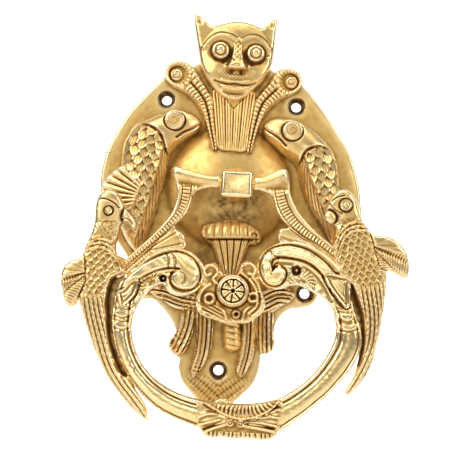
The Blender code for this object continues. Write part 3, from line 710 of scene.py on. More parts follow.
PLATE_THICKNESS = 4.5
DOME_CENTRE, DOME_RADIUS, DOME_RISE = np.array((1.0, -43.0)), 31.0, 9.5
HOLLOW_RADIUS, HOLLOW_APEX = 27.0, 10.2
HOLE_RADIUS, COUNTERSINK_FLOOR, COUNTERSINK_MOUTH = 2.5, 2.2, 4.7
SCREW_HOLES = ((-33.0, 0.0), (33.0, 0.0), (-41.6, -94.4), (41.6, -94.4), (0.6, -134.6))
SEAT_DEPTH = 1.2
FOOT_SHADE, FOOT_SHADE_HEIGHT = 0.55, 1.6


def plate_front(points):
    """Height of the plate's front, with its dome."""
    rise = DOME_RISE * (1 - ((points - DOME_CENTRE) ** 2).sum(1) / DOME_RADIUS**2)
    return PLATE_THICKNESS + (rise + np.sqrt(rise**2 + 0.3)) / 2


def settle(piece, body, node=None):
    """Puts a piece on a body, in place of a CAD node if one is given."""
    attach(piece, body)
    if node:
        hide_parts(node)


def on_plate(name, outline, height, slot="relief_brass", step=0.45, replaced=True):
    """A relief on the plate: height(sheet) gives its front, and its back is sunk in the plate."""
    sheet = Sheet(outline, step)
    ground = plate_front(sheet.points)
    front = height(sheet)
    # Painted shade along the base of the relief, darkest where its front lies lowest over the plate.
    foot_shade = np.clip(1 - (front - ground) / FOOT_SHADE_HEIGHT, 0, 1) ** 2 * FOOT_SHADE
    piece = carving(name, sheet, front, ground - SEAT_DEPTH, slot, foot_shade)
    settle(piece, "plate", name if replaced else None)


PLATE_OUTLINE = [
    (-12.5, 33.0), (-13.5, 23.0), (-22.0, 17.5), (-31.0, 14.5), (-35.5, 11.0), (-40.3, 5.9), (-45.7, -0.3),
    (-51.5, -7.5), (-57.1, -17.5), (-61.2, -27.0), (-63.4, -37.0), (-63.6, -47.0), (-62.0, -57.0),
    (-58.0, -66.5), (-52.5, -74.5), (-48.0, -81.0), (-47.4, -87.5), (-48.2, -94.0), (-45.6, -99.2),
    (-40.6, -101.6), (-34.0, -101.1), (-27.7, -106.4), (-22.6, -113.5), (-20.8, -119.6), (-23.9, -123.7),
    (-22.7, -127.3), (-18.9, -129.9), (-19.1, -134.5), (-17.4, -139.9), (-14.3, -144.3), (-10.4, -148.2),
    (-6.0, -152.8), (0.0, -156.4), (5.6, -153.2), (10.2, -148.8), (14.0, -144.9), (17.8, -140.4),
    (20.0, -135.5), (21.0, -129.8), (21.4, -125.6), (25.6, -124.4), (27.6, -120.0), (27.2, -113.5),
    (28.6, -108.4), (33.4, -103.0), (40.0, -101.4), (45.4, -99.4), (48.0, -94.6), (47.6, -88.5),
    (50.0, -82.0), (56.0, -75.0), (62.0, -68.5), (66.4, -62.0), (68.4, -55.5), (67.6, -47.5), (66.4, -39.0),
    (63.3, -28.3), (60.0, -20.5), (54.8, -13.1), (49.8, -5.3), (41.6, 4.7), (36.2, 10.4), (32.0, 14.5),
    (22.0, 17.0), (14.0, 23.0), (13.5, 33.0),
]
LUG_CENTRE = np.array((4.6, -43.2))


def plate_stains_and_shade(points, reliefs):
    """Darkening on the plate: painted shade round the reliefs, darker countersinks, and brown residue round
    the brazed lug and torch.
    """
    darkening = np.zeros(len(points))
    # Painted shade where each relief meets the plate.
    for outline in reliefs:
        gap = loop_gap(curve_through(outline, 1.0), points)
        darkening = np.maximum(darkening, 0.62 * np.exp(-gap / 0.9))
    for hole in SCREW_HOLES:
        reach = reach_from(points, hole)
        darkening = np.maximum(darkening, 0.95 * ease((COUNTERSINK_MOUTH + 0.5 - reach) / 1.2))
    residue = 1.15 * mound(points, LUG_CENTRE + (0.0, -7.0), 9.0, (1.5, 1.0))
    residue = np.maximum(residue, 1.0 * mound(points, (3.0, -59.0), 5.5, (3.2, 1.1)))
    residue = np.maximum(residue, 0.8 * mound(points, (-9.5, -80.0), 4.0, (1.0, 2.4)))
    residue *= 0.62 + 0.38 * wobble(points, 1.3, 2.0)
    return np.clip(np.maximum(darkening, residue), 0, 1)


def build_plate(reliefs):
    holes = [circle(hole, HOLE_RADIUS, 0.5) for hole in SCREW_HOLES]
    sheet = Sheet(PLATE_OUTLINE, 0.75, holes)
    points = sheet.points
    front = plate_front(points) - 1.1 * (1 - round_over(depth_in(points, PLATE_OUTLINE), 1.3))
    front += 0.07 * wobble(points, 5.6) + 0.02 * wobble(points, 1.9, 1.0)
    low = ease((-137.0 - points[:, 1]) / 2.0)
    chevron = np.abs(points[:, 0] - 1.0) * 0.8 - points[:, 1]
    ladder = notches(np.abs(points[:, 0] - 1.0) + 0.8 * points[:, 1], 2.3, 0.8)
    front += low * (0.5 * notches(chevron, 4.6, 0.4) + 0.35 * ladder - 0.5)
    for hole in SCREW_HOLES:
        reach = reach_from(points, hole)
        slope = (PLATE_THICKNESS + 0.3 - COUNTERSINK_FLOOR) / (COUNTERSINK_MOUTH - HOLE_RADIUS)
        front = np.minimum(front, COUNTERSINK_FLOOR + (reach - HOLE_RADIUS) * slope)
    radius = reach_from(points, DOME_CENTRE)
    hollow = HOLLOW_APEX * (1 - np.clip(radius / HOLLOW_RADIUS, 0, 1) ** 3)
    rough = 0.16 + 0.10 * wobble(points, 3.1, 4.0) + 0.05 * wobble(points, 1.1, 5.0)
    back = np.maximum(hollow, 0.0) + rough * ease((depth_in(points, PLATE_OUTLINE) - 1.5) / 3.0)
    piece = carving("backplate", sheet, front, back, "plate_brass", plate_stains_and_shade(points, reliefs))
    settle(piece, "plate", "backplate")


MASK_OUTLINE = [
    (-17.0, 19.0), (-18.6, 27.0), (-20.2, 34.5), (-21.3, 41.0), (-21.0, 43.3), (-18.4, 43.2), (-15.0, 40.6),
    (-12.0, 38.0), (-7.5, 39.0), (-2.0, 40.7), (3.0, 41.0), (9.0, 39.8), (13.2, 38.2), (15.2, 40.2),
    (18.0, 43.0), (20.5, 43.3), (20.9, 41.0), (20.5, 34.5), (20.2, 27.0), (19.4, 20.0), (16.6, 13.0),
    (11.4, 6.6), (6.0, 1.4), (1.2, -1.0), (-4.6, 1.4), (-10.4, 6.6), (-14.6, 12.6),
]
EYES = (np.array((-6.9, 24.3)), np.array((10.8, 23.6)))
MASK_LINES = [
    # Wings of the nose, and the hollow under it.
    (-0.9, 0.42, [(-3.6, 17.0), (-2.6, 19.4), (-1.0, 20.2), (0.0, 19.2)]),
    (-0.6, 0.4, [(5.0, 19.3), (6.8, 18.4), (7.2, 16.6)]),
    (-0.5, 0.8, [(-2.8, 13.4), (1.4, 12.6), (5.6, 13.2)]),
    # Mouth: a wide thin line between the lips, and a line under the lower one.
    (-0.7, 0.5, [(-9.2, 9.4), (-5.6, 8.2), (-2.0, 7.6), (1.2, 7.8), (5.0, 7.4), (8.6, 7.8), (11.6, 9.2)]),
    (0.55, 0.7, [(-5.4, 9.6), (-1.4, 9.2), (1.2, 8.9), (4.2, 9.1), (7.8, 9.4)]),
    (0.85, 0.9, [(-4.6, 6.2), (1.2, 5.2), (6.8, 6.0)]),
    (-0.5, 0.7, [(-4.4, 3.8), (1.2, 2.8), (6.6, 3.6)]),
    # Creases at the sides of the jaw.
    (-0.9, 0.7, [(-17.2, 17.0), (-14.8, 12.4), (-11.4, 8.0)]),
    (-0.8, 0.6, [(18.8, 17.0), (16.6, 13.4), (13.0, 9.2)]),
]
MASK_MOUNDS = [
    # Tip and wings of the nose, and its nostrils.
    (0.7, (-1.0, 16.6), 1.6), (0.7, (4.7, 16.4), 1.6), (1.1, (1.6, 17.2), 2.4), (0.8, (-2.4, 16.4), 1.5),
    (0.8, (5.5, 16.0), 1.5), (-1.0, (-0.8, 14.0), 1.0), (-1.0, (3.8, 13.8), 1.0),
    # Chin, cheeks, and two dents beside the right eye.
    (0.6, (1.2, 1.0), 1.8, (1.3, 0.8)), (0.8, (-9.6, 14.0), 4.2), (0.8, (12.0, 14.0), 4.2),
    (-0.9, (18.4, 20.6), 0.8, (0.7, 1.5)), (-0.7, (16.9, 23.4), 0.7),
]


def mask_height(sheet):
    points = sheet.points
    x, z = points.T
    height = 8.6 + 2.6 * round_over(sheet.edge(), 2.2)
    height += 3.4 * np.clip(1 - (((x - 1.3) / 19.0) ** 2 + ((z - 19.0) / 22.0) ** 2), 0, 1)
    ears = ease((z - 36.5) / 3.0)
    height -= 0.9 * ears * bell(np.abs(np.abs(x) - 18.2), 1.6)
    height += 1.5 * mound(points, (1.2, 34.0), 9.0, (1.4, 0.8))
    # Brows: a smooth roll over each eye, parted from the forehead by a sharp line.
    left_brow = [(-15.6, 27.4), (-12.6, 31.4), (-8.0, 33.8), (-3.0, 33.2), (1.0, 31.2)]
    right_brow = [(3.6, 31.0), (7.0, 33.0), (11.0, 33.4), (15.0, 31.6), (17.8, 28.2)]
    for brow in (left_brow, right_brow):
        height -= 0.55 * line_mark(points, brow, 0.5)
        height += 0.75 * line_mark(points, shifted(brow, 0.0, -1.2), 1.1)
    for eye, lean in zip(EYES, (1.0, -1.0)):
        reach = reach_from(points, eye)
        height -= 1.0 * bell(reach - 4.7, 1.1)
        aside, up = (points - eye).T
        toward_nose = ease(lean * aside / 3.0 + 0.3) * ease(0.7 - up / 5.0)
        height -= 1.5 * toward_nose * bell(reach - 5.6, 1.2)
        ball = 14.4 + 1.7 * cap(points, eye, 4.7) - 0.30 * ring_mark(points, eye, 3.7, 0.4)
        height = np.where(reach < 4.3, np.maximum(ball, height), height)
        height += 1.5 * cap(points, eye, 2.5) - 0.5 * ring_mark(points, eye, 2.7, 0.3)
        height -= 0.35 * mound(points, eye + (-0.1, -1.6), 0.6)
    # Nose: a flat ridge that widens downwards.
    down = np.clip((29.0 - z) / 14.0, 0, 1)
    half = 1.9 + 2.7 * down**2.2
    ridge = ease((half - np.abs(x - 1.7)) / 0.9 + 0.5) * ease((z - 14.2) / 1.2) * ease((31.5 - z) / 3.0)
    height = np.maximum(height, height * (1 - ridge) + ridge * (14.9 + 1.9 * down))
    height += marks(points, MASK_LINES, MASK_MOUNDS)
    upper_lip = mound(points, (0.4, 12.2), 2.6, (1.7, 0.8))
    height += 0.34 * upper_lip * np.sin(3.4 * x) * np.sin(3.9 * z + 1.0)
    bridge = mound(points, (1.8, 25.0), 3.0, (0.7, 1.6))
    height += 0.30 * bridge * np.sin(2.6 * x) * np.sin(2.2 * z)
    return height + 0.07 * wobble(points, 2.4, 3.0)


BEARD_OUTLINE = [
    (-9.8, 4.6), (-4.6, 5.0), (1.0, 4.4), (6.6, 5.0), (11.6, 4.6), (10.6, -7.0), (9.4, -16.0), (8.4, -25.2),
    (1.4, -25.9), (-5.6, -24.6), (-7.4, -15.0), (-8.6, -6.0),
]


def beard_height(sheet):
    points = sheet.points
    x, z = points.T
    fall = np.clip((4.0 - z) / 29.0, 0, 1)
    middle = 1.0 + 0.5 * fall
    across = (x - middle) / (10.8 - 3.6 * fall)
    height = 9.2 + 3.2 * fall - 1.2 * across**2
    strand = notches(across, 0.147, 0.75)
    bundle = notches(across + 0.02, 0.44, 1.4)
    chin = mound(points, (1.0, -1.6), 2.6, (1.0, 1.6))
    height += (0.75 * strand + 0.55 * bundle) * (1 - 0.85 * chin) * (1 - 0.55 * ease((fall - 0.72) / 0.28))
    height += 0.5 * chin
    lean = line_mark(points, [(1.2, -4.0), (-1.6, -1.0), (-5.0, 2.6)], 0.35)
    lean += line_mark(points, [(1.2, -4.0), (3.6, -1.0), (7.2, 2.6)], 0.35)
    height -= 0.45 * lean
    return height * (0.93 + 0.07 * round_over(sheet.edge(), 0.9)) + 0.05 * wobble(points, 1.7)


COLLARS = {
    "left": {
        "outer": [(-30.0, 18.9), (-24.4, 19.2), (-19.8, 16.2), (-16.2, 11.4), (-12.6, 6.2), (-9.6, 0.8),
                  (-8.6, -6.0), (-7.4, -15.0), (-5.8, -24.8)],
        "inner": [(-28.0, 5.4), (-26.0, 4.4), (-22.2, 2.2), (-17.6, -2.4), (-14.2, -8.0), (-11.6, -15.6),
                  (-8.8, -25.0)],
        "scroll": np.array((-28.0, 12.4)),
        "hand": 1.0,
        "cap_end": [(-30.6, 6.6), (-33.6, 9.6), (-34.4, 13.2), (-33.2, 16.8)],
    },
    "right": {
        "outer": [(30.4, 18.0), (25.4, 18.4), (21.4, 16.2), (18.4, 11.2), (14.8, 6.2), (11.6, 0.8),
                  (10.6, -6.0), (9.6, -15.0), (8.6, -25.4)],
        "inner": [(28.4, 4.6), (26.6, 3.6), (23.4, 1.2), (19.4, -2.6), (16.2, -8.0), (13.8, -15.6),
                  (11.6, -25.2)],
        "scroll": np.array((29.0, 11.6)),
        "hand": -1.0,
        "cap_end": [(31.2, 5.8), (34.0, 8.8), (34.9, 12.4), (33.6, 16.0)],
    },
}


def collar_outline(side):
    band = COLLARS[side]
    return band["outer"] + band["inner"][::-1] + band["cap_end"]


def collar_height(side, sheet):
    band = COLLARS[side]
    points = sheet.points
    along, across = between(band["outer"], band["inner"], points)
    fall = np.clip((10.0 - points[:, 1]) / 34.0, 0, 1)
    base = 8.4 + 2.6 * fall
    strip = np.abs(np.sin(math.pi * (across + 1) / 2 * 2.0)) ** 0.55
    first = notches(along, 2.1, 0.7)
    second = notches(along + 0.6, 1.9, 0.7)
    cut = np.where(across < 0.0, first, second)
    rise = 1.75 * strip * (0.42 + 0.58 * cut) - 0.35 * bell(across, 0.10)
    rise -= 0.35 * bell(np.abs(across) - 0.86, 0.10)
    reach = reach_from(points, band["scroll"])
    x, z = (points - band["scroll"]).T
    rays = notches(np.arctan2(z, x) * 6.2, 2.0, 0.7)
    scroll = 1.5 * bell(reach - 6.4, 1.5) * (0.5 + 0.5 * rays)
    opening = 0.5 + 0.5 * np.cos(np.arctan2(z, -x * band["hand"]) - 0.6)
    scroll -= 0.8 * bell(reach - 3.9, 0.5) * opening
    scroll += 1.7 * cap(points, band["scroll"] + (-0.6 * band["hand"], -0.4), 3.2)
    scroll -= 0.45 * spiral_mark(points, band["scroll"], 2.8, 1.2, 2.0, band["hand"], 0.35)
    share = ease((8.4 - reach) / 1.8)
    tall = base + rise * (1 - share) + (scroll + 0.1) * share
    return tall - 1.6 * (1 - round_over(sheet.edge(), 1.1)) + 0.05 * wobble(points, 1.5, 2.0)


FISH = {
    "left": {
        "outline": [
            (-14.6, -12.6), (-16.4, -9.6), (-20.5, -7.0), (-26.0, -6.0), (-32.0, -7.2), (-38.0, -9.6),
            (-43.6, -12.4), (-47.6, -14.6), (-50.6, -19.0), (-53.0, -25.0), (-53.6, -32.0), (-53.8, -40.0),
            (-53.8, -48.0), (-53.4, -57.0), (-52.0, -66.0), (-47.6, -74.4), (-42.0, -79.0), (-39.6, -74.0),
            (-37.0, -65.0), (-34.4, -56.0), (-32.2, -47.0), (-30.6, -38.0), (-29.6, -31.0), (-27.6, -26.4),
            (-22.4, -21.0), (-17.0, -16.8),
        ],
        "head": [
            (-14.6, -12.6), (-16.4, -9.4), (-20.5, -6.8), (-26.0, -5.8), (-32.0, -7.0), (-38.4, -9.8),
            (-44.2, -13.6), (-40.0, -15.2), (-35.8, -17.6), (-33.0, -21.2), (-31.2, -26.8), (-29.4, -29.6),
            (-27.4, -27.0), (-22.4, -21.0), (-17.0, -16.8),
        ],
        "spine": [(-20.0, -12.0), (-28.0, -14.5), (-36.0, -19.0), (-41.0, -27.0), (-43.0, -37.0),
                  (-43.6, -48.0), (-44.0, -60.0), (-43.0, -76.0)],
        "eye": np.array((-27.8, -12.2)),
        "mouth": [(-15.4, -13.2), (-19.0, -15.6), (-23.2, -17.8), (-26.4, -20.6)],
        "back": [(-28.8, -30.0), (-29.8, -38.0), (-31.6, -47.0), (-34.0, -56.0), (-36.6, -65.0),
                 (-40.0, -77.0)],
    },
    "right": {
        "outline": [
            (16.4, -12.6), (18.2, -9.4), (22.6, -7.2), (28.0, -7.0), (34.0, -8.6), (40.4, -11.8),
            (46.4, -16.4), (51.6, -22.0), (54.4, -29.0), (55.8, -37.0), (56.6, -45.0), (57.0, -54.0),
            (56.6, -62.0), (54.0, -69.0), (49.0, -62.0), (44.6, -56.0), (41.0, -50.0), (38.2, -43.0),
            (36.0, -36.0), (34.0, -30.5), (29.0, -27.0), (22.6, -21.6), (17.6, -17.0),
        ],
        "head": [
            (16.4, -12.6), (18.2, -9.2), (22.6, -7.0), (28.0, -6.8), (34.0, -8.4), (40.4, -11.6),
            (46.2, -16.6), (49.6, -21.4), (44.6, -21.0), (40.2, -22.2), (37.0, -25.0), (35.4, -29.4),
            (33.0, -31.4), (29.0, -27.4), (22.6, -21.6), (17.6, -17.0),
        ],
        "spine": [(21.0, -12.0), (29.0, -15.0), (37.0, -20.0), (43.0, -27.0), (46.4, -36.0), (48.8, -46.0),
                  (51.6, -57.0), (54.0, -67.0)],
        "eye": np.array((31.0, -14.4)),
        "mouth": [(17.0, -13.6), (20.6, -15.8), (24.8, -18.6), (28.0, -22.0)],
        "back": [(34.2, -31.0), (36.2, -38.0), (39.0, -45.0), (43.0, -53.0), (47.8, -60.0), (53.0, -68.0)],
    },
}


def fish_height(side, sheet):
    fish = FISH[side]
    points = sheet.points
    swell = sheet.swell()
    body = 6.6 + 0.80 * swell
    along, offset = follow(fish["spine"], points)
    scales = shingles(along, offset, 3.7, 5.0, 0.12, 0.05)
    from_back = distance(points, fish["back"])
    strip = ease((5.4 - from_back) / 1.2)
    hair = notches(from_back + 0.25 * along, 1.35, 0.8)
    tail = ease((along - 58.0) / 6.0)
    skin = 1.05 * scales * (1 - strip) + (0.55 * hair - 0.35) * strip
    body += skin * (1 - 0.4 * tail)
    head = depth_in(points, fish["head"])
    smooth = 7.6 + 0.84 * swell
    smooth += 0.45 * round_over(head, 1.4)
    body -= 0.6 * bell(head + 0.4, 0.8)
    share = ease(head / 0.9 + 0.4)
    body = body * (1 - share) + smooth * share
    eye = fish["eye"]
    reach = reach_from(points, eye)
    body -= 1.1 * bell(reach - 5.2, 0.5)
    flat = smooth[reach < 4.0].mean() + 1.1
    button = flat + 0.5 * cap(points, eye, 6.0) - 0.5 * (1 - round_over(4.9 - reach, 0.9))
    button -= 0.18 * ring_mark(points, eye + (-0.5, 0.6), 2.6, 0.25)
    button -= 0.12 * ring_mark(points, eye, 1.3, 0.3)
    body = np.where(reach < 4.9, button, body)
    body -= 1.2 * line_mark(points, fish["mouth"], 0.5)
    body += 0.35 * line_mark(points, shifted(fish["mouth"], 0.4, -1.6), 0.9)
    return body + 0.06 * wobble(points, 2.0, 5.0)


LEFT_FIN = [
    (-42.6, -34.8), (-47.0, -34.4), (-53.0, -36.6), (-58.4, -41.0), (-62.2, -46.8), (-61.6, -52.4),
    (-57.0, -55.6), (-51.0, -57.2), (-46.6, -58.2), (-44.6, -53.6), (-42.6, -48.4), (-41.4, -41.0),
]


def fin_height(sheet):
    """A breast fin whose ribs fan out from its root on the body."""
    points = sheet.points
    root = np.array((-36.0, -52.4))
    x, z = (points - root).T
    turn = np.arctan2(z, -x)
    ribs = np.abs(np.sin(turn * 19.0 + 0.5)) ** 0.7
    reach = np.hypot(x, z)
    height = 15.6 - 0.20 * (reach - 12.0) - 0.7 * turn**2
    height += 1.15 * ribs - 1.6 * (1 - round_over(sheet.edge(), 1.0))
    return height + 0.05 * wobble(points, 1.6, 6.0)


CUP_OUTLINE = [
    (-11.8, -67.6), (-10.6, -63.8), (-5.4, -61.4), (1.4, -60.0), (7.8, -60.2), (13.0, -62.2), (17.4, -65.6),
    (18.4, -69.4), (15.6, -71.6), (12.6, -72.2), (11.3, -76.0), (9.8, -80.6), (7.0, -87.2), (3.0, -88.6),
    (-0.6, -87.4), (-3.6, -79.6), (-6.4, -72.8), (-9.4, -70.8),
]


def cup_height(sheet):
    """A gadrooned rim over a fluted cone."""
    points = sheet.points
    x, z = points.T
    lip = -69.6 + 0.05 * (x - 3.0)
    drop = np.clip((lip - z) / 17.0, 0, 1)
    across = (x - 3.0 - 0.8 * drop) / (9.8 - 6.0 * drop)
    cone = 10.4 + 3.4 * bow(across * 0.92) - 0.6 * drop
    flutes = np.abs(np.sin(math.pi * (across * 2.6 + 0.5)))
    cone += 0.9 * flutes**0.5 - 0.9 * bell(flutes, 0.22)
    cone -= 0.5 * bell(flutes - 0.86, 0.10)
    rim_place = (x - 3.2) / 15.0
    lobes = np.abs(np.sin(math.pi * (x + 1.1) / 4.15)) ** 0.5
    above = np.clip((z - lip) / 8.5, 0, 1)
    rim = 13.4 + 2.3 * bow((above - 0.35) / 0.75) - 3.2 * rim_place**2
    rim += 0.8 * lobes - 0.4 - 2.2 * above**3
    share = ease((z - lip) / 0.7 + 0.5)
    height = cone * (1 - share) + rim * share
    height -= 0.9 * bell(z - lip + 0.5, 0.45) * (np.abs(x - 3.0) < 11.0)
    curl = np.array((14.8, -67.6))
    height += 0.6 * ring_mark(points, curl, 2.2, 0.6) - 0.5 * ring_mark(points, curl, 1.1, 0.4)
    height -= 2.0 * (1 - round_over(sheet.edge(), 1.2))
    return np.maximum(height, plate_front(points) + 0.2) + 0.05 * wobble(points, 1.6, 7.0)


HANDLE_OUTLINE = [
    (-0.4, -87.0), (7.4, -87.0), (8.6, -97.0), (9.8, -106.0), (11.0, -116.0), (11.4, -122.6), (7.2, -125.4),
    (3.0, -123.6), (1.6, -116.0), (1.0, -106.0), (0.2, -97.0),
]


def handle_height(sheet):
    points = sheet.points
    ribs = notches(points[:, 1] + 0.14 * points[:, 0], 3.1, 0.55)
    height = 4.6 + 1.02 * sheet.swell() + 0.75 * ribs - 0.3
    return height + 0.05 * wobble(points, 1.4, 8.0)


LEAVES = {
    "tail_leaf_outer_left": ([
        (-18.8, -104.0), (-19.6, -110.4), (-20.8, -115.2), (-22.8, -119.0), (-24.6, -122.7),
        (-23.6, -126.0), (-20.0, -128.0), (-16.4, -126.4), (-13.4, -119.4), (-12.3, -111.1),
        (-12.4, -104.0),
    ], [(-15.6, -104.0), (-16.2, -112.0), (-18.0, -119.0), (-21.0, -125.6)], 2.2),
    "tail_leaf_inner_left": ([
        (-11.6, -104.0), (-3.6, -104.0), (-3.0, -115.2), (-3.2, -122.5), (-5.4, -129.8), (-9.0, -136.0),
        (-11.6, -139.0), (-12.8, -134.0), (-11.6, -124.7), (-11.4, -115.5),
    ], [(-7.6, -104.0), (-7.2, -116.0), (-8.0, -127.0), (-11.2, -137.6)], 2.1),
    "tail_leaf_inner_right": ([
        (11.2, -106.0), (17.4, -106.0), (17.8, -121.4), (17.0, -128.2), (14.2, -134.6), (11.4, -137.4),
        (9.2, -132.4), (10.8, -125.0), (11.4, -118.0),
    ], [(14.3, -106.0), (14.5, -118.0), (13.6, -127.0), (11.3, -136.4)], 1.9),
    "tail_leaf_outer_right": ([
        (18.3, -104.6), (25.8, -103.6), (26.5, -113.6), (27.8, -120.4), (25.6, -124.2), (20.8, -125.0),
        (18.7, -118.5), (17.9, -112.2),
    ], [(22.0, -104.0), (22.2, -113.0), (22.9, -124.0)], 2.1),
    "ear_leaf_left": ([
        (-36.4, -96.6), (-30.0, -94.0), (-24.6, -95.2), (-18.0, -96.4), (-12.4, -97.8), (-12.0, -105.4),
        (-18.4, -106.0), (-23.8, -104.6), (-28.4, -101.8), (-33.0, -99.6),
    ], [(-34.4, -97.6), (-28.0, -98.2), (-20.0, -100.8), (-12.2, -101.8)], 2.0),
    "ear_leaf_right": ([
        (36.4, -95.0), (30.4, -90.4), (24.6, -92.4), (18.4, -95.4), (12.0, -97.4), (11.6, -106.4),
        (18.2, -107.0), (24.4, -105.4), (29.6, -101.8), (34.4, -98.8),
    ], [(35.0, -96.8), (28.0, -96.6), (20.0, -100.6), (12.0, -101.8)], 2.0),
}


def leaf_height(path, pitch, sheet):
    """A long leaf, fluted lengthwise, that sinks towards its sides and its tip."""
    points = sheet.points
    along, offset = follow(path, points)
    flutes = np.abs(np.cos(math.pi * offset / pitch)) ** 0.6
    height = 6.2 + 0.62 * np.minimum(sheet.swell(), 3.4)
    height += 1.15 * flutes - 0.9 * bell(flutes, 0.3)
    height += 0.25 * np.sin(offset * 5.1 + 0.5)
    height -= 0.5 * ease((along - 24.0) / 10.0)
    return height + 0.12 * wobble(points, 1.8, 9.0)


BLOCK_STEP, BLOCK_EDGE = 0.5, 1.7


def rounded_block(name, low, high, bulge, slot):
    """A worn block between two corners, given as (x, height, z), with soft edges and bowed faces."""
    low, high = np.array(low), np.array(high)
    centre, half = (low + high) / 2, (high - low) / 2
    counts = np.maximum((2 * half / BLOCK_STEP).astype(int), 6)
    corners, faces = [], []
    for axis in range(3):
        one, two = [other for other in range(3) if other != axis]
        for sign in (-1, 1):
            u, v = np.meshgrid(np.linspace(-1, 1, counts[one] + 1), np.linspace(-1, 1, counts[two] + 1))
            side = np.empty((u.size, 3))
            side[:, axis], side[:, one], side[:, two] = sign, u.ravel(), v.ravel()
            first = sum(len(rows) for rows in corners)
            corners.append(side)
            wide = counts[one] + 1
            for row in range(counts[two]):
                for column in range(counts[one]):
                    a = first + row * wide + column
                    quad = (a, a + 1, a + wide + 1, a + wide)
                    turned_out = (sign > 0) == (axis != 1)
                    faces.append(quad if turned_out else quad[::-1])
    unit = np.concatenate(corners)
    core = half - BLOCK_EDGE
    place = unit * half
    inner = np.clip(place, -core, core)
    outward = place - inner
    reach = np.linalg.norm(outward, axis=1)[:, None]
    place = inner + outward / np.maximum(reach, 1e-9) * np.minimum(reach, BLOCK_EDGE)
    bowed = (1 - unit[:, [1, 2, 0]] ** 2) * (1 - unit[:, [2, 0, 1]] ** 2) * (np.abs(unit) >= 1)
    place += unit * bulge * bowed
    x, height, z = (place + centre).T
    corners = np.column_stack([x, -height, z])
    _, first, back = np.unique(np.round(corners, 4), axis=0, return_index=True, return_inverse=True)
    back = back.reshape(-1)
    triangles = []
    for a, b, c, d in faces:
        triangles += [(back[a], back[b], back[c]), (back[a], back[c], back[d])]
    triangles = [face for face in triangles if len(set(face)) == 3]
    return mesh_object(name, corners[first], np.array(triangles), slot)


def build_lug():
    pivot = Vector(frame["joints"][0]["pos_m"]) / MM
    x, z = pivot.x, pivot.z
    back, front = heights_of("hinge_lug")
    block = rounded_block(
        "hinge_lug", (x - 7.7, front - 13.4, z - 7.4), (x + 7.7, front - 0.5, z + 5.3), 0.5, "polished_brass"
    )
    settle(block, "plate", "hinge_lug")
    seat = plate_front(np.array([[x, z]]))[0]
    boss = turned(
        "lug_boss",
        [(0.4, 19.6), (4.0, 19.6), (6.6, 18.4), (7.9, 16.4), (8.4, 14.8),
         (8.3, 13.8), (8.6, seat - 1.6), (4.0, seat - 2.0)],
        (x, z + 0.2), "relief_brass", wear=0.012,
    )
    settle(boss, "plate")
    washer_back, washer_front = heights_of("lug_washer")
    washer = turned(
        "lug_washer",
        [(3.4, washer_front), (5.0, washer_front), (5.45, washer_front - 0.35), (5.45, washer_back + 0.3),
         (5.1, washer_back), (3.4, washer_back)],
        (x, z), "plate_brass", wear=0.006,
    )
    settle(washer, "plate", "lug_washer")
    rivet = turned(
        "lug_rivet",
        [(0.3, back), (1.6, back + 0.1), (3.2, back + 0.7), (4.3, back + 1.6), (4.5, back + 2.2),
         (4.2, washer_back - 0.25), (3.0, washer_back + 0.2), (2.9, seat - 1.0), (0.4, seat - 0.9)],
        (x, z), "relief_brass", wear=0.02,
    )
    settle(rivet, "plate")


# ---------------------------------------------------------------- knocker side

def on_knocker(name, outline, heights, slot="relief_brass", step=0.45, grime_and_shade=None):
    """A casting with a carved front and a plainer back: heights(sheet) gives (front, back)."""
    sheet = Sheet(outline, step)
    front, back = heights(sheet)
    piece = carving(name, sheet, front, back, slot, None if grime_and_shade is None else grime_and_shade(sheet.points))
    settle(piece, "knocker", name)


